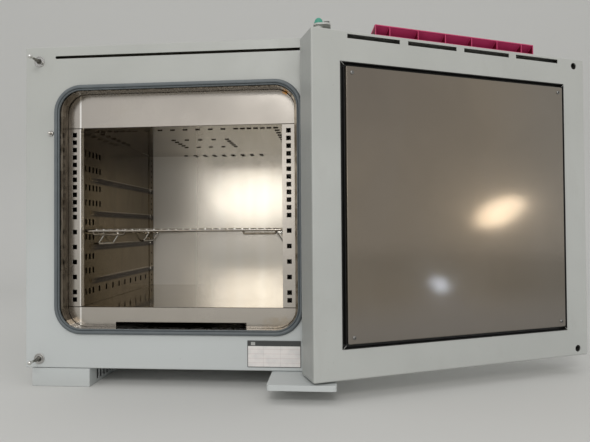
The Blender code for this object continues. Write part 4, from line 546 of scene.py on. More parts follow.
def powder_coat(name, place=CABINET, shade_from=None, inside=None, painted_low_light=0.0):
    """Fine-grained light grey powder coat with faint marks of use.

    It carries painted shade beyond a place along x and inside a given box, painted shade near the floor and
    towards the top, and painted light low down if given.
    """
    made = Finish("light_grey_paint", name, PAINT_COLOUR, 0.42, place=place)
    cloud = made.sweep(made.noise(0.16, 2.0), 0.35, 0.65)
    tone = made.mix(cloud, shade(PAINT_COLOUR, 0.965), shade(PAINT_COLOUR, 1.025))
    smear = made.sweep(made.noise(0.035, 4.0, (1, 1, 0.35), warp=0.6), 0.56, 0.74, 0.0, 0.14)
    tone = made.mix(smear, tone, (0.36, 0.355, 0.33))
    # Painted light: lighter low down, by the given share.
    painted_low_light_mask = made.sweep(made.along(2), 0.50, 0.10, 0.0, painted_low_light)
    tone = made.mix(painted_low_light_mask, tone, (0.560, 0.590, 0.590))
    # Painted shade: darker near the floor.
    low = made.sweep(made.along(2), 0.0, 0.030, 0.14, 0.0)
    tone = made.mix(low, tone, (0.30, 0.29, 0.265))
    # Painted shade: darker towards the top.
    high = made.sweep(made.along(2), 0.25, 0.66, 0.0, 0.30)
    tone = made.mix(high, tone, (0.36, 0.36, 0.325))
    # Painted shade on the door's hinge-side edge, beyond a place along x.
    if shade_from:
        tone = made.mix(made.sweep(made.along(0), shade_from, shade_from + 0.001, 0.0, 0.9), tone,
                        shade(PAINT_COLOUR, 0.80))
    speck = made.sweep(made.noise(0.0045, 1.0), 0.74, 0.79, 0.0, 0.30)
    tone = made.mix(speck, tone, (0.30, 0.30, 0.28))
    # Painted shade: near black inside the door's cavity, seen through its holes.
    if inside:
        hollow_shade = 1.0
        for axis, (start, end) in enumerate(zip(*inside)):
            hollow_shade = made.times(made.band(axis, (start + end) / 2, end - start, HAIR), hollow_shade)
        tone = made.mix(hollow_shade, tone, (0.028, 0.027, 0.024))
    made.colour(tone)
    made.rough(made.sweep(made.noise(0.05, 3.0), 0.3, 0.7, 0.34, 0.50))
    made.bump(made.noise(0.0016, 2.0), 0.00010, 0.55)
    made.bump(made.noise(0.03, 1.0), 0.0006, 0.10)
    return made


def sheet_steel(name, colour=STEEL_COLOUR, rough=(0.22, 0.36), grain=PRESSED_GRAIN, stain=0.35, place=CABINET,
                slot="stainless_steel"):
    """Stainless sheet with a fine grain, cloudy heat tint and faint scratches."""
    made = Finish(slot, name, colour, sum(rough) / 2, 1.0, place)
    cloud = made.sweep(made.noise(0.14, 3.0, warp=0.8), 0.36, 0.68)
    tone = made.mix(cloud, colour, shade(colour, 0.93))
    straw = made.sweep(made.noise(0.09, 4.0, warp=1.0), 0.55, 0.80, 0.0, stain)
    tone = made.mix(straw, tone, (colour[0] * 0.92, colour[1] * 0.74, colour[2] * 0.50))
    fine = made.noise(0.0007, 2.0, grain)
    tone = made.mix(made.sweep(fine, 0.3, 0.7, 0.0, 0.15), tone, shade(colour, 0.72))
    made.tone = tone
    made.colour(tone)
    patch = made.sweep(made.noise(0.11, 3.0), 0.3, 0.7, rough[0], rough[1])
    made.rough(made.plus(patch, made.sweep(fine, 0.3, 0.7, -0.02, 0.02)))
    made.bump(fine, 0.00002, 0.4)
    made.bump(made.noise(0.12, 1.0), 0.0006, 0.25)
    return made


def moulded_plastic(slot, name, colour, roughness, grain=0.0009, place=CABINET):
    """Moulded plastic with a fine spark-worn grain and handled, shinier patches."""
    made = Finish(slot, name, colour, roughness, place=place)
    cloud = made.sweep(made.noise(0.03, 3.0), 0.35, 0.7)
    made.colour(made.mix(cloud, colour, shade(colour, 0.82)))
    made.rough(made.sweep(made.noise(0.02, 3.0), 0.3, 0.7, roughness - 0.08, roughness + 0.08))
    made.bump(made.noise(grain, 2.0), 0.00008, 0.5)
    return made


SHEET = Vector((0.0018, 0.0018, 0.0018))
TRAY_LOW, TRAY_HIGH = span("door_inner_shell", DOOR)
paint = powder_coat("powder_coat", painted_low_light=0.75)
door_paint = powder_coat("door_powder_coat", DOOR, 0.3035, (TRAY_LOW + SHEET, TRAY_HIGH - SHEET))
wire_steel = Finish("polished_steel", "polished_wire", (0.66, 0.64, 0.60), 0.16, 1.0)
black = moulded_plastic("black_plastic", "black_moulding", (0.014, 0.014, 0.013), 0.50)
door_black = moulded_plastic("black_plastic", "door_black_moulding", (0.012, 0.012, 0.011), 0.46, place=DOOR)
teal = moulded_plastic("teal_plastic", "teal_moulding", (0.055, 0.33, 0.235), 0.42)
grey_plastic = moulded_plastic("dark_grey_plastic", "grey_moulding", (0.105, 0.110, 0.115), 0.46, place=DOOR)


def shelf_wire():
    """Shelf wire: a painted highlight on top and brown painted shade underneath, clouded by tarnish."""
    low, high = span("wire_shelf")
    made = Finish("polished_steel", "shelf_wire", (0.5, 0.48, 0.44), 0.2, 1.0)
    # Painted highlight on the wires' tops, painted shade on their undersides.
    turn = made.sweep(made.along(2), high.z - 0.0052, high.z - 0.0026)
    haze = made.sweep(made.noise(0.014, 3.0), 0.35, 0.7)
    top = made.mix(haze, (0.74, 0.71, 0.66), (0.50, 0.45, 0.38))
    made.colour(made.mix(turn, made.mix(haze, (0.14, 0.115, 0.085), (0.26, 0.22, 0.17)), top))
    made.rough(made.sweep(made.noise(0.006, 2.0), 0.3, 0.7, 0.14, 0.28))
    made.bump(made.noise(0.0015, 1.0), 0.00002, 0.3)
    return made


def stud_steel():
    """Lock studs: a bright worn ball on a dark neck."""
    made = Finish("polished_steel", "stud_steel", (0.5, 0.49, 0.46), 0.2, 1.0)
    ball = made.sweep(made.along(1), -0.0225, -0.0255)
    worn = made.sweep(made.noise(0.006, 3.0), 0.35, 0.7)
    made.colour(made.mix(ball, made.mix(worn, (0.10, 0.094, 0.084), (0.24, 0.23, 0.205)), (0.66, 0.65, 0.62)))
    made.rough(made.sweep(worn, 0.0, 1.0, 0.18, 0.32))
    made.bump(made.noise(0.0015, 1.0), 0.00002, 0.3)
    return made


def finish_wire():
    """Drawn wire: fine rings of dark tarnish over a polish."""
    made = wire_steel
    haze = made.sweep(made.noise(0.012, 3.0), 0.35, 0.7)
    made.colour(made.mix(haze, (0.70, 0.68, 0.64), (0.48, 0.44, 0.38)))
    made.rough(made.sweep(made.noise(0.006, 2.0), 0.3, 0.7, 0.12, 0.26))
    made.bump(made.noise(0.0015, 1.0), 0.00002, 0.3)


def rib_heights():
    """Middles of the side walls' ribs."""
    wall = copy_of("left_side_wall")
    inner = limits(wall)[1].x
    heights = sorted({round(v.co.z, 4) for v in wall.verts if v.co.x > inner - HAIR / 5})
    wall.free()
    return [(a + b) / 2 for a, b in zip(heights[::2], heights[1::2])]


def front_steel():
    """Bright fascia sheet, with brown heat stains at the hinge side's upper and lower corners, a painted
    highlight along the left upright's fold and painted shade at its joints.
    """
    made = sheet_steel("fascia_steel", (0.500, 0.462, 0.413), (0.22, 0.28), LEVEL_GRAIN, 0.10)
    ragged = made.noise(0.008, 4.0, warp=1.2)
    high = made.times(made.spot(UPPER_STAIN, 0.014, (1, 0.2, 1)), ragged)
    low = made.times(made.spot(LOWER_STAIN, 0.050, (0.6, 0.2, 1.6)), ragged)
    tone = made.mix(made.sweep(high, 0.08, 0.30, 0.0, 0.95), made.tone, (0.62, 0.27, 0.035))
    tone = made.mix(made.sweep(low, 0.20, 0.48, 0.0, 0.55), tone, (0.42, 0.35, 0.26))
    fold_x = span("left_front_upright")[1].x
    # Painted highlight along the left upright's folded inner edge.
    tone = made.mix(made.band(0, fold_x - 0.0006, 0.0034, 0.0012), tone, (0.95, 0.92, 0.87))
    # Painted shade: a thin dark line along each fascia joint, standing for the gap's shadow.
    for node, end in (("top_fascia", 0), ("bottom_fascia", 1)):
        joint = span(node)[end].z
        tone = made.mix(made.band(2, joint, 0.0016, 0.0006), tone, (0.06, 0.045, 0.035))
    made.colour(tone)
    return made


def liner_steel():
    """The box round the chamber: brown in its mouth with a painted reflection low in it, painted shade behind
    the panels, satin at its back with painted light towards the back wall's left side.
    """
    made = sheet_steel("liner_steel", (0.56, 0.525, 0.465), (0.14, 0.18), UPRIGHT_GRAIN, 0.06)
    streaks = made.sweep(made.noise(0.012, 4.0, (1, 1, 0.35), warp=1.0), 0.35, 0.68)
    brown = made.mix(streaks, (0.095, 0.077, 0.055), (0.205, 0.176, 0.138))
    # Painted reflection: the bottom of the mouth is lightened.
    brown = made.mix(made.sweep(made.along(2), 0.122, 0.118), brown, PAINTED_FOOT_SHEEN)
    mouth = made.sweep(made.along(1), MOUTH_START, MOUTH_END, 1.0, 0.0)
    # Painted shade: near black everywhere in front of the rear wall, behind the panels.
    panel_shade = made.sweep(made.along(1), REAR_WALL_START, REAR_WALL_END, 1.0, 0.0)
    rear_wall = made.sweep(made.along(1), REAR_WALL_START, REAR_WALL_END)
    # Painted reflection: lighter low down at the front of the liner.
    foot = made.times(made.sweep(made.along(2), 0.150, 0.146), made.sweep(made.along(1), 0.075, 0.055))
    drawn = made.sweep(made.noise(0.03, 2.0, (1, 1, 0.05)), 0.35, 0.65, 0.0, 0.16)
    back = made.mix(drawn, made.tone, (0.46, 0.405, 0.32))
    # Painted light: lighter towards the back wall's left side, with less metal there.
    painted_left_light = made.sweep(made.along(0), -0.04, -0.17, 0.0, 0.9)
    back = made.mix(painted_left_light, back, (0.80, 0.76, 0.69))
    tone = made.mix(panel_shade, back, BEHIND_PANEL_SHADE)
    tone = made.mix(foot, tone, PAINTED_FOOT_SHEEN)
    made.colour(made.mix(mouth, tone, brown))
    made.feed(made.shader.inputs["Metallic"], made.sweep(made.times(painted_left_light, rear_wall), 0.0, 0.9, 1.0, 0.45))
    left = made.sweep(made.along(0), -0.20, -0.02, 0.58, 0.17)
    neck = made.mix(mouth, left, made.sweep(streaks, 0.0, 1.0, 0.22, 0.34))
    made.rough(neck)
    return made


def wall_steel():
    """Side wall sheet, browned by years of heat, with painted shade under each rib, a painted highlight along
    its top edge and painted shade towards the ceiling.
    """
    made = sheet_steel(
        "wall_steel", (0.190, 0.146, 0.084), (0.17, 0.23), DEEP_GRAIN, 0.15, slot="heat_tinted_steel")
    drips = made.sweep(made.noise(0.03, 4.0, (1, 1, 0.3), warp=1.0), 0.45, 0.75, 0.0, 0.5)
    tone = made.mix(drips, made.tone, (0.115, 0.088, 0.050))
    ceiling = span("ceiling_panel")[0].z
    # Painted shade: darker towards the ceiling.
    top = made.sweep(made.along(2), ceiling - 0.13, ceiling - 0.02, 0.0, 0.85)
    tone = made.mix(top, tone, (0.045, 0.031, 0.018))
    for z in rib_heights():
        # Painted shade under each rib.
        under = made.times(made.band(2, z - 0.0030, 0.0120, 0.004), made.sweep(made.along(1), 0.05, 0.09))
        tone = made.mix(under, tone, (0.030, 0.020, 0.012))
        # Painted highlight along each rib's top edge.
        edge = made.times(made.band(2, z + 0.0042, 0.0022, 0.0008), made.sweep(made.along(1), 0.06, 0.16))
        tone = made.mix(edge, tone, (0.36, 0.31, 0.24))
    made.colour(tone)
    return made


def door_panel_steel():
    """The door's satin inner sheet: warm grey, clouded by wiping, cooler towards its free edge, with painted
    light low down and painted shade across its upper part.
    """
    made = sheet_steel(
        "door_panel_steel", (0.243, 0.206, 0.160), (0.13, 0.155), UPRIGHT_GRAIN, 0.0, place=DOOR)
    cool = made.sweep(made.along(0), -0.02, -0.24, 0.0, 0.45)
    tone = made.mix(cool, made.tone, (0.225, 0.212, 0.190))
    # Painted light: lighter towards the bottom.
    foot = made.sweep(made.along(2), 0.20, 0.11, 0.0, 0.60)
    tone = made.mix(foot, tone, (0.275, 0.255, 0.238))
    made.rough(made.sweep(made.noise(0.0008, 1.0, UPRIGHT_GRAIN), 0.42, 0.58, 0.09, 0.34))
    wipes = made.sweep(made.noise(0.16, 3.0, (1, 1, 0.55), (0, 0.5, 0), 0.8), 0.40, 0.75, 0.0, 0.10)
    tone = made.mix(wipes, tone, (0.29, 0.27, 0.25))
    # Painted shade across the sheet's upper part.
    painted_top_shade = made.times(made.sweep(made.along(2), 0.34, 0.60), made.sweep(made.along(0), -0.10, 0.24))
    made.colour(made.mix(made.times(painted_top_shade, 0.6), tone, (0.165, 0.145, 0.125)))
    return made


def silicone():
    """Matt seal, dusty along its crown."""
    made = Finish("blue_grey_silicone", "seal_silicone", (0.122, 0.140, 0.147), 0.52)
    dust = made.sweep(made.noise(0.03, 4.0, warp=0.5), 0.40, 0.75, 0.0, 0.35)
    made.colour(made.mix(dust, (0.104, 0.120, 0.128), (0.150, 0.165, 0.170)))
    made.rough(made.sweep(made.noise(0.015, 2.0), 0.3, 0.7, 0.44, 0.60))
    made.bump(made.noise(0.0012, 2.0), 0.00006, 0.5)
    return made


def magenta():
    """Satin moulded hood: pink along its rims, with painted shade deep inside its cells."""
    low, high = span("vent_hood", DOOR)
    made = Finish("magenta_plastic", "hood_moulding", (0.50, 0.030, 0.115), 0.36, place=DOOR)
    cloud = made.sweep(made.noise(0.03, 3.0), 0.35, 0.7, 0.0, 0.5)
    tone = made.mix(cloud, (0.50, 0.040, 0.135), (0.40, 0.022, 0.090))
    rise = (high.z - low.z) / (high.y - low.y)
    under = made.plus(made.times(made.along(1), rise), high.z - high.y * rise)
    depth = made.maths("SUBTRACT", under, made.along(2))
    # Painted shade: darker deep inside the cells.
    inside = made.times(made.sweep(depth, 0.0014, 0.0030), made.sweep(made.along(1), high.y, high.y - 0.003))
    made.colour(made.mix(inside, tone, (0.115, 0.002, 0.012)))
    made.rough(made.sweep(made.noise(0.012, 2.0), 0.3, 0.7, 0.30, 0.44))
    made.bump(made.noise(0.0008, 2.0), 0.00006, 0.4)
    return made


def plate_film():
    """Blank white film: a dark header, a dark border and faint ruled lines, with nothing written."""
    low, high = span("name_plate")
    made = Finish("white_film", "plate_film", (0.74, 0.71, 0.68), 0.40)
    cloud = made.sweep(made.noise(0.02, 3.0), 0.35, 0.7)
    tone = made.mix(cloud, (0.80, 0.76, 0.73), (0.70, 0.68, 0.66))
    for row in range(4):
        z = low.z + 0.0085 + row * 0.0085
        tone = made.mix(made.times(made.band(2, z, 0.0005, 0.0003), 0.40), tone, (0.42, 0.22, 0.22))
    for share in (0.30, 0.62):
        rule = made.band(0, low.x + (high.x - low.x) * share, 0.0005, 0.0003)
        tone = made.mix(made.times(rule, 0.35), tone, (0.34, 0.28, 0.28))
    head = made.band(2, high.z - 0.0058, 0.0092, 0.0003)
    tone = made.mix(head, tone, (0.045, 0.047, 0.045))
    blank = made.times(
        made.band(2, high.z - 0.0058, 0.0060, 0.0003), made.band(0, low.x + 0.011, 0.008, 0.0003))
    tone = made.mix(blank, tone, (0.40, 0.40, 0.38))
    for axis, width in ((0, high.x - low.x), (2, high.z - low.z)):
        inside = made.band(axis, (low[axis] + high[axis]) / 2, width - 0.0026, 0.0003)
        tone = made.mix(inside, (0.075, 0.078, 0.075), tone)
    made.colour(tone)
    made.bump(made.noise(0.004, 2.0), 0.00004, 0.3)
    return made


def wool_finish(name, place=CABINET):
    """Pressed mineral wool: short yellow-brown fibres."""
    made = Finish("mineral_wool", name, (0.42, 0.37, 0.23), 0.95, place=place)
    fibres = made.sweep(made.noise(0.004, 5.0, (1, 1, 4), warp=2.0), 0.3, 0.7)
    made.colour(made.mix(fibres, (0.34, 0.29, 0.16), (0.50, 0.45, 0.30)))
    made.bump(made.noise(0.003, 4.0, warp=1.0), 0.0008, 0.8)
    return made


def glass_finish():
    """Dark clear window over an unlit display."""
    made = Finish("display_glass", "window_glass", (0.022, 0.027, 0.024), 0.10, place=DOOR)
    made.colour(made.mix(made.band(0, 0.060, 0.088, 0.001), (0.012, 0.013, 0.013), (0.028, 0.034, 0.030)))
    made.rough(made.sweep(made.noise(0.03, 3.0), 0.35, 0.7, 0.06, 0.14))
    return made


def board_finish():
    """Green lacquered board with fine copper runs."""
    made = Finish("circuit_board", "board_lacquer", (0.03, 0.13, 0.065), 0.38, place=DOOR)
    runs = made.sweep(made.noise(0.0022, 1.0, (1, 1, 6)), 0.52, 0.56)
    made.colour(made.mix(runs, (0.025, 0.11, 0.055), (0.06, 0.19, 0.09)))
    made.bump(runs, 0.00006, 0.5)
    return made


finish_wire()
fascia_steel = front_steel()
chamber_steel = sheet_steel("chamber_steel", (0.63, 0.59, 0.525), (0.07, 0.11), LEVEL_GRAIN, 0.12)
ceiling_steel = sheet_steel("ceiling_steel", (0.60, 0.555, 0.485), (0.10, 0.16), LEVEL_GRAIN, 0.15)
grid_steel = shelf_wire()
lock_steel = stud_steel()
# Painted shade: the lock bar inside the door is near black, so the lock holes read dark.
shaded_lock_steel = sheet_steel("shaded_lock_steel", (0.045, 0.043, 0.040), (0.35, 0.45), PRESSED_GRAIN, 0.0, DOOR)
# Painted shade: near black lips behind the ceiling slots.
slot_lip_shade = sheet_steel("slot_lip_shade", (0.035, 0.027, 0.018), (0.45, 0.6), NO_GRAIN, 0.0)
box_steel = liner_steel()
side_steel = wall_steel()
panel_steel = door_panel_steel()
plain_steel = sheet_steel("plain_steel", BARE_STEEL, (0.25, 0.38), PRESSED_GRAIN, 0.05)
door_steel = sheet_steel("door_steel", BARE_STEEL, (0.25, 0.38), PRESSED_GRAIN, 0.05, DOOR)
screw_steel = sheet_steel("screw_steel", (0.24, 0.235, 0.225), (0.28, 0.40), NO_GRAIN, 0.05, DOOR)
dark_heater = sheet_steel("heater_sheath", (0.16, 0.13, 0.10), (0.35, 0.5), NO_GRAIN, 0.2,
                          slot="heat_tinted_steel")
seal = silicone()
hood_finish = magenta()
film = plate_film()
wool = wool_finish("jacket_wool")
door_wool = wool_finish("door_wool", DOOR)
glass = glass_finish()
board = board_finish()


def dress_casing():
    """Folded painted sheets round the cabinet."""
    front = fold(copy_of("front_frame"), open_sides=(REAR_SIDE,))
    piece("casing_front", soften(front, SHEET_EDGE), paint, "cabinet", replaces=["front_frame"])
    wrap = fold(copy_of("outer_casing"), open_sides=(REAR_SIDE, FRONT_SIDE, LOW_SIDE))
    piece("casing_wrap", soften(wrap, SHEET_EDGE), paint, "cabinet", replaces=["outer_casing"])
    rear = fold(copy_of("rear_cover"), open_sides=(FRONT_SIDE,))
    piece("casing_rear", soften(rear, SHEET_EDGE), paint, "cabinet", replaces=["rear_cover"])
    plate_left = span("lower_hinge_plate")[0].x
    for node in ("left_foot", "right_foot"):
        foot = copy_of(node)
        low, high = limits(foot)
        if low.x > 0:
            for vert in foot.verts:
                if vert.co.y < FOOT_SHEET + HAIR and vert.co.x < low.x + FOOT_SHEET + HAIR:
                    vert.co.x += plate_left - low.x + SOFT_EDGE
        foot = fold(foot, FOOT_FOLD, 3, open_sides=(TOP_SIDE,))
        piece(node + "_channel", soften(foot, SHEET_EDGE), paint, "cabinet", replaces=[node])
    keep("base_pan", paint)


def dress_hinges():
    """Hinge plates, the teal cap on the upper pin and the cable's guide and cover."""
    for node in ("lower_hinge_plate", "upper_hinge_plate"):
        piece(node + "_rounded", soften(copy_of(node), SOFT_EDGE, 3), paint, "cabinet", replaces=[node])
    low, high = span("hinge_cap")
    radius = (high.x - low.x) / 2
    height = high.z - low.z
    rim = height * CAP_RIM_SHARE
    profile = [(0, 0), (0, radius - CAP_EDGE), (CAP_EDGE, radius), (rim, radius),
               (rim + CAP_EDGE, radius - SOFT_EDGE), (rim + CAP_STEP, radius - CAP_STEP)]
    crown = height - rim - CAP_STEP
    for step in range(10, 91, 10):
        turn = math.radians(step)
        profile.append((rim + CAP_STEP + crown * math.sin(turn), (radius - CAP_STEP) * math.cos(turn)))
    centre = ((low.x + high.x) / 2, (low.y + high.y) / 2, low.z)
    piece("teal_cap", stand(turned(profile), FACING_UP, centre), teal, "cabinet", replaces=["hinge_cap"])
    guide = soften(copy_of("cable_guide"), SOFT_EDGE)
    piece("cable_guide_strip", guide, black, "cabinet", replaces=["cable_guide"])
    cover = soften(copy_of("cable_cover"), SHEET_EDGE)
    piece("cable_arch", cover, paint, "cabinet", replaces=["cable_cover"])


def dress_seal():
    """Silicone ring: a soft crown with a groove along its inner side."""
    low, high = span("door_gasket")
    width = high.x - low.x
    height = high.z - low.z
    proud = -low.y
    steps = [(0.0, proud * 0.40), (0.0008, proud * 0.28), (0.0012, proud * 0.20), (0.0018, proud * 0.12),
             (0.0020, -0.0001), (0.0012, -proud * 0.12), (0.0006, -proud * 0.30), (0.0004, -proud * 0.12),
             (0.0006, proud * 0.20), (0.0008, proud * 0.06), (0.0010, -proud * 0.06), (0.0006, -proud * 0.24),
             (0.0, -proud * 0.22)]
    ring = moulding(width, height, SEAL_CORNER, steps)
    stand(ring, FACING_FRONT, ((low.x + high.x) / 2, -HAIR, (low.z + high.z) / 2))
    piece("seal_ring", ring, seal, "cabinet", replaces=["door_gasket"])


def dress_chamber():
    """Liner, fascias, uprights, walls, strips, floor and ceiling."""
    keep("chamber_liner", box_steel)
    for node in ("top_fascia", "bottom_fascia", "left_front_upright", "right_front_upright"):
        piece(node + "_sheet", soften(copy_of(node), SHEET_EDGE), fascia_steel, "cabinet", replaces=[node])
    for node in ("left_side_wall", "right_side_wall"):
        wall = copy_of(node)
        low, high = limits(wall)
        inner = high.x if node.startswith("left") else low.x
        ribs = [e for e in wall.edges if all(abs(v.co.x - inner) < HAIR / 5 for v in e.verts)]
        bevel(wall, ribs, RIB_EDGE, 4)
        piece(node + "_sheet", wall, side_steel, "cabinet", replaces=[node])
    for node in ("left_rear_strip", "right_rear_strip"):
        piece(node + "_sheet", soften(copy_of(node), SHEET_EDGE), side_steel, "cabinet", replaces=[node])
    keep("floor_panel", chamber_steel)
    keep("ceiling_panel", ceiling_steel)


def dress_ceiling_slots():
    """A short pressed lip behind each ceiling slot, near black as painted shade."""
    ceiling = copy_of("ceiling_panel")
    foot = limits(ceiling)[0].z
    lips = []
    for face in ceiling.faces:
        xs = [v.co.x for v in face.verts]
        if face.normal.y < -0.9 and max(xs) - min(xs) < 0.012:
            at = face.calc_center_median()
            lip = slab(max(xs) - min(xs), SLOT_LIP, SLOT_LIP_SHEET, SLOT_LIP_SHEET, HAIR / 3, 1, 3)
            lips.append(stand(lip, FACING_FRONT, (at.x, at.y, foot - SLOT_LIP / 2)))
    ceiling.free()
    piece("ceiling_slot_lips", gather(lips), slot_lip_shade, "cabinet")


def dress_rivets():
    """Bright rivets on the rear strips, one at the end of each rib."""
    low, high = span("left_rear_strip")
    y = low.y + RIVET_INSET
    heads = []
    for z in rib_heights():
        for facing, side in ((FACING_RIGHT, high.x), (FACING_LEFT, -high.x)):
            heads.append(screw(facing, (side, y, z), RIVET_RADIUS, RIVET_HEIGHT))
    piece("rib_rivets", gather(heads), wire_steel, "cabinet")


def dress_studs():
    """Ball-headed lock studs on their ring seats."""
    for end in ("upper", "lower"):
        low, high = span("lock_stud_" + end)
        x, z = (low.x + high.x) / 2, (low.z + high.z) / 2
        reach = -low.y
        ball = reach - STUD_BALL
        start = math.degrees(math.asin(STUD_NECK / STUD_BALL))
        profile = [(HAIR, 0), (HAIR, STUD_BASE), (STUD_BASE_HEIGHT, STUD_BASE),
                   (STUD_BASE_HEIGHT + STUD_BASE_EDGE, STUD_BASE - STUD_BASE_EDGE),
                   (STUD_TAPER_END, STUD_NECK)]
        profile += arc((ball, 0), STUD_BALL, 180 - start, 0, 14)
        stud = stand(turned(profile, 28), FACING_FRONT, (x, 0, z))
        piece("ball_stud_" + end, stud, lock_steel, "cabinet", replaces=["lock_stud_" + end])
        low, high = span("stud_seat_" + end)
        outer = (high.x - low.x) / 2 + SEAT_RIM
        sheet = high.y - low.y
        bore = STUD_BASE + HAIR
        dish = sheet * 0.6
        ring = [(0, bore), (0, outer), (sheet / 2, outer), (sheet, outer - SEAT_EDGE),
                (sheet, outer - SEAT_LIP), (dish, outer - SEAT_DISH), (dish, bore + SEAT_EDGE),
                (sheet, bore + SEAT_BEAD), (sheet, bore), (0, bore)]
        seat = stand(turned(ring, 36), FACING_FRONT, (x, high.y, z))
        piece("ring_seat_" + end, seat, plain_steel, "cabinet", replaces=["stud_seat_" + end])


def dress_switch():
    """Door switch: a bezel and its domed plunger."""
    body = soften(copy_of("door_switch"), SHEET_EDGE)
    piece("door_switch_body", body, plain_steel, "cabinet", replaces=["door_switch"])
    low, high = span("switch_plunger")
    radius = (high.x - low.x) / 2
    length = high.y - low.y
    profile = [(0, 0), (0, radius)] + arc((length - radius, 0), radius, 90, 0, 8)
    pin = stand(turned(profile, 24), FACING_FRONT, ((low.x + high.x) / 2, high.y, (low.z + high.z) / 2))
    piece("plunger_pin", pin, wire_steel, "plunger", replaces=["switch_plunger"])


def dress_shelf():
    """Wire shelf: a rail all round, wires over it and two stop bars under its front."""
    low, high = span("wire_shelf")
    rail_z = high.z - 2 * SHELF_WIRE + SHELF_WIRE_SINK - SHELF_RAIL
    left, right = low.x + SHELF_RAIL, high.x - SHELF_RAIL
    front, rear = low.y + SHELF_RAIL, high.y - SHELF_RAIL
    bars = []
    for y in (front, rear):
        bars.append(bar(
            (low.x + SHELF_RAIL_END, y, rail_z), (high.x - SHELF_RAIL_END, y, rail_z), SHELF_RAIL, 16))
    for x in (left, right):
        bars.append(bar((x, front, rail_z), (x, rear, rail_z), SHELF_RAIL * 0.96, 16))
    pitch = (right - left) / (SHELF_WIRES + 1)
    for i in range(SHELF_WIRES):
        x = left + pitch * (i + 1)
        z = high.z - SHELF_WIRE
        bars.append(bar((x, low.y + SHELF_WIRE_END, z), (x, high.y - SHELF_WIRE_END, z), SHELF_WIRE))
    stop_z = low.z + SHELF_RAIL + STOP_RISE
    for side in (-1, 1):
        outer = (high.x - low.x) / 2 - STOP_INSET - SHELF_RAIL
        inner = outer - STOP_LENGTH + 2 * SHELF_RAIL
        route = bend([(side * inner, front, rail_z), (side * inner, front, stop_z),
                      (side * outer, front, stop_z), (side * outer, front, rail_z)], STOP_CORNER)
        bars.append(wire(route, STOP_WIRE))
    piece("shelf_grid", gather(bars), grid_steel, "shelf", replaces=["wire_shelf"])


def dress_clips():
    """Bent wire clips under the shelf."""
    for row in ("front", "rear"):
        for hand, side in (("left", -1), ("right", 1)):
            node = row + "_" + hand + "_shelf_clip"
            low, high = span(node)
            radius = CLIP_WIRE
            out = side * (max(abs(low.x), abs(high.x)) - radius)
            inside = side * (min(abs(low.x), abs(high.x)) + radius)
            top, foot = high.z - radius, low.z + radius
            start, end = low.y + radius, high.y - radius
            route = [(out, start, top), (inside, start, top), (out, start, foot), (out, end, foot),
                     (inside, end, top), (out, end, top)]
            piece(node + "_wire", wire(bend(route, radius * 2), radius), wire_steel, "cabinet",
                  replaces=[node])


def dress_name_plate():
    low, high = span("name_plate")
    plate = slab(high.x - low.x, high.z - low.z, PLATE_CORNER, high.y - low.y, 0.0002)
    stand(plate, FACING_FRONT, ((low.x + high.x) / 2, high.y, (low.z + high.z) / 2))
    piece("plate_blank", plate, film, "cabinet", replaces=["name_plate"])


def dress_hidden():
    """Pieces behind the panels, with their own finishes."""
    keep("insulation_jacket", wool)
    keep("door_insulation", door_wool)
    keep("control_board", board)
    for node, name, finish, body, edge in (
            ("upper_heater", "upper_heater_loop", dark_heater, "cabinet", SHEET_EDGE),
            ("lower_heater", "lower_heater_loop", dark_heater, "cabinet", SHEET_EDGE),
            ("fan_motor", "fan_motor_body", black, "cabinet", SOFT_EDGE),
            ("fan_wheel", "fan_wheel_bladed", plain_steel, "fan", SHEET_EDGE),
            ("temperature_probe", "probe_sheath", wire_steel, "cabinet", SHEET_EDGE),
            ("exhaust_duct", "duct_pipe", plain_steel, "cabinet", SHEET_EDGE),
            ("exhaust_flap", "duct_flap", plain_steel, "flap", SHEET_EDGE),
            ("mains_inlet", "inlet_body", black, "cabinet", SOFT_EDGE)):
        piece(name, soften(copy_of(node), edge), finish, body, replaces=[node])


def dress_door():
    """Folded door shell, outer panel, channel, inner sheet and hood."""
    shell = fold(copy_of("door_inner_shell", DOOR), TRAY_FOLD, open_sides=(FRONT_SIDE,))
    piece("door_tray", soften(shell, SHEET_EDGE), door_paint, "door", DOOR, ["door_inner_shell"])
    skin = fold(copy_of("door_outer_panel", DOOR), SKIN_FOLD, 2)
    piece("door_skin", skin, door_paint, "door", DOOR, ["door_outer_panel"])
    channel = soften(copy_of("door_channel", DOOR), SHEET_EDGE)
    piece("door_trim", channel, door_black, "door", DOOR, ["door_channel"])
    sheet = copy_of("door_inner_panel", DOOR)
    low, high = limits(sheet)
    rim = [e for e in sheet.edges if all(v.co.y > high.y - HAIR / 5 for v in e.verts)
           and e.calc_face_angle(0) > SHARP_ANGLE]
    sheet = bevel(sheet, rim, PANEL_EDGE, 5)
    piece("door_inner_sheet", sheet, panel_steel, "door", DOOR, ["door_inner_panel"])
    hood = soften(copy_of("vent_hood", DOOR), HOOD_EDGE)
    piece("hood_grille", hood, hood_finish, "door", DOOR, ["vent_hood"])
    heads = [screw(FACING_REAR, (x, high.y - HAIR / 3, z), SCREW_RADIUS, SCREW_HEIGHT)
             for z in (low.z + SCREW_INSET, high.z - SCREW_INSET)
             for x in (low.x + SCREW_INSET, high.x - SCREW_INSET)]
    piece("door_sheet_screws", gather(heads), screw_steel, "door", DOOR)
    mitres = []
    deep = high.y - MITRE_DEPTH
    for x, side in ((low.x, -1), (high.x, 1)):
        for z, up in ((low.z, -1), (high.z, 1)):
            start = (x + side * MITRE_START, deep, z + up * MITRE_START)
            end = (x + side * MITRE_END, deep, z + up * MITRE_END)
            mitres.append(bar(start, end, MITRE_LINE, 8))
    piece("channel_mitres", gather(mitres), door_steel, "door", DOOR)


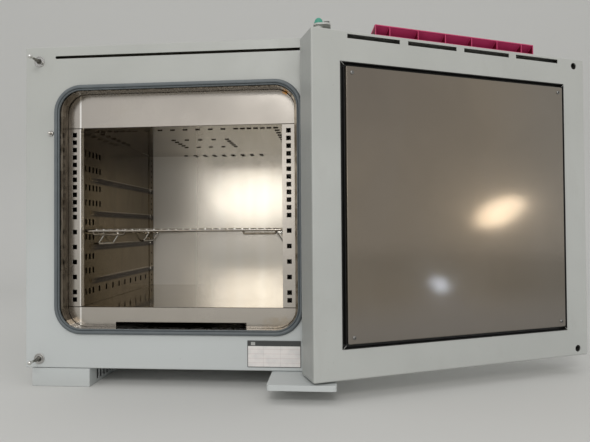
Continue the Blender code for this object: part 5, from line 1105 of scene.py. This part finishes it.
def dress_console():
    """Console, window, keys, dial, switch and handle on the door's outer side."""
    shell = soften(copy_of("control_console", DOOR), CONSOLE_EDGE, 3)
    piece("console_shell", shell, grey_plastic, "door", DOOR, ["control_console"])
    window = soften(copy_of("display_window", DOOR), SHEET_EDGE)
    piece("window_pane", window, glass, "door", DOOR, ["display_window"])
    for i in range(1, 4):
        node = "set_key_" + str(i)
        key = soften(copy_of(node, DOOR), KEY_EDGE, 3)
        piece(node + "_cap", key, door_black, "key_" + str(i), DOOR, [node])
    dial = soften(copy_of("limit_dial", DOOR), SOFT_EDGE)
    piece("limit_dial_knob", dial, door_black, "dial", DOOR, ["limit_dial"])
    rocker = soften(copy_of("mains_switch", DOOR), SHEET_EDGE)
    piece("mains_rocker", rocker, door_black, "rocker", DOOR, ["mains_switch"])
    lever = soften(copy_of("door_handle", DOOR), SOFT_EDGE)
    piece("handle_lever", lever, grey_plastic, "handle", DOOR, ["door_handle"])
    slide = soften(copy_of("lock_bar", DOOR), SHEET_EDGE)
    piece("lock_slide", slide, shaded_lock_steel, "lock_bar", DOOR, ["lock_bar"])


dress_casing()
dress_hinges()
dress_seal()
dress_chamber()
dress_ceiling_slots()
dress_rivets()
dress_studs()
dress_switch()
dress_shelf()
dress_clips()
dress_name_plate()
dress_hidden()
dress_door()
dress_console()


def set_stage():
    """Pale floor that curves up into a backdrop."""
    shape = bmesh.new()
    places = [(SWEEP_FRONT, 0.0), (SWEEP_CURVE_Y, 0.0)]
    for step in range(9, 91, 9):
        turn = math.radians(step)
        places.append((SWEEP_CURVE_Y + SWEEP_RADIUS * math.sin(turn), SWEEP_RADIUS * (1 - math.cos(turn))))
    places.append((SWEEP_CURVE_Y + SWEEP_RADIUS, SWEEP_HEIGHT))
    verts = [shape.verts.new((-SWEEP_SIDE, y, z)) for y, z in places]
    edges = [shape.edges.new(pair) for pair in zip(verts, verts[1:])]
    swept = bmesh.ops.extrude_edge_only(shape, edges=edges)
    moved = [g for g in swept["geom"] if isinstance(g, bmesh.types.BMVert)]
    bmesh.ops.translate(shape, vec=(2 * SWEEP_SIDE, 0, 0), verts=moved)
    bmesh.ops.recalc_face_normals(shape, faces=shape.faces)
    mesh = bpy.data.meshes.new("sweep")
    shape.to_mesh(mesh)
    shape.free()
    mesh.shade_smooth()
    made = bpy.data.materials.new("sweep_paper")
    made.use_nodes = True
    shader = made.node_tree.nodes["Principled BSDF"]
    shader.inputs["Base Color"].default_value = (*SWEEP_COLOUR, 1.0)
    shader.inputs["Roughness"].default_value = 0.9
    shader.inputs["Specular IOR Level"].default_value = 0.1
    mesh.materials.append(made)
    stage = bpy.data.objects.new("sweep", mesh)
    bpy.context.scene.collection.objects.link(stage)


def soft_light(name, at, aim, size, power, colour=(1, 1, 1), along=(1, 0, 0)):
    """An oval soft light whose width runs along the given direction."""
    data = bpy.data.lights.new(name, "AREA")
    data.shape = "ELLIPSE"
    data.size = size[0]
    data.size_y = size[1]
    data.energy = power
    data.color = colour
    light = bpy.data.objects.new(name, data)
    back = (Vector(at) - Vector(aim)).normalized()
    side = (Vector(along) - Vector(along).project(back)).normalized()
    turn = Matrix((side, back.cross(side), back)).transposed()
    light.matrix_world = Matrix.Translation(at) @ turn.to_4x4()
    bpy.context.scene.collection.objects.link(light)


def set_lights():
    """A plain grey surround, soft lights ahead and above, and two small lamps that the door sheet mirrors."""
    world = bpy.data.worlds.new("studio")
    world.use_nodes = True
    world.node_tree.nodes["Background"].inputs["Color"].default_value = (SURROUND, SURROUND, SURROUND, 1.0)
    bpy.context.scene.world = world
    mouth = CABINET @ Vector(FRONT_AIM)
    soft_light("window", CABINET @ Vector(WINDOW_PLACE), CABINET @ Vector(WINDOW_AIM), WINDOW_SIZE,
               WINDOW_POWER, (1.0, 0.96, 0.90))
    soft_light("front_light", CABINET @ Vector(FRONT_PLACE), mouth, FRONT_SIZE, FRONT_POWER,
               (1.0, 0.99, 0.98))
    soft_light("high_light", HIGH_PLACE, mouth, HIGH_SIZE, HIGH_POWER, (1.0, 0.97, 0.93))
    soft_light("door_glow", GLOW_PLACE, GLOW_AIM, GLOW_SIZE, GLOW_POWER, (1.0, 0.90, 0.78), GLOW_SLANT)
    soft_light("door_spark", SPARK_PLACE, SPARK_AIM, SPARK_SIZE, SPARK_POWER, (0.52, 0.68, 1.0))


def set_camera():
    """The photograph's viewing place and angle."""
    data = bpy.data.cameras.new("camera")
    data.sensor_width = SENSOR_WIDTH
    data.lens = SENSOR_WIDTH * FOCAL_PIXELS / PHOTO_WIDTH
    camera = bpy.data.objects.new("camera", data)
    yaw, pitch, roll = math.radians(CAMERA_YAW), math.radians(CAMERA_PITCH), math.radians(CAMERA_ROLL)
    forward = Vector((-math.sin(yaw) * math.cos(pitch), math.cos(yaw) * math.cos(pitch), math.sin(pitch)))
    level = Vector((math.cos(yaw), math.sin(yaw), 0))
    up = level.cross(forward)
    right = level * math.cos(roll) + up * math.sin(roll)
    top = up * math.cos(roll) - level * math.sin(roll)
    turn = Matrix((right, top, -forward)).transposed()
    camera.matrix_world = Matrix.Translation(CABINET @ Vector(CAMERA_PLACE)) @ turn.to_4x4()
    bpy.context.scene.collection.objects.link(camera)
    bpy.context.scene.camera = camera


set_stage()
set_lights()
set_camera()
bpy.context.scene.view_settings.view_transform = "Standard"
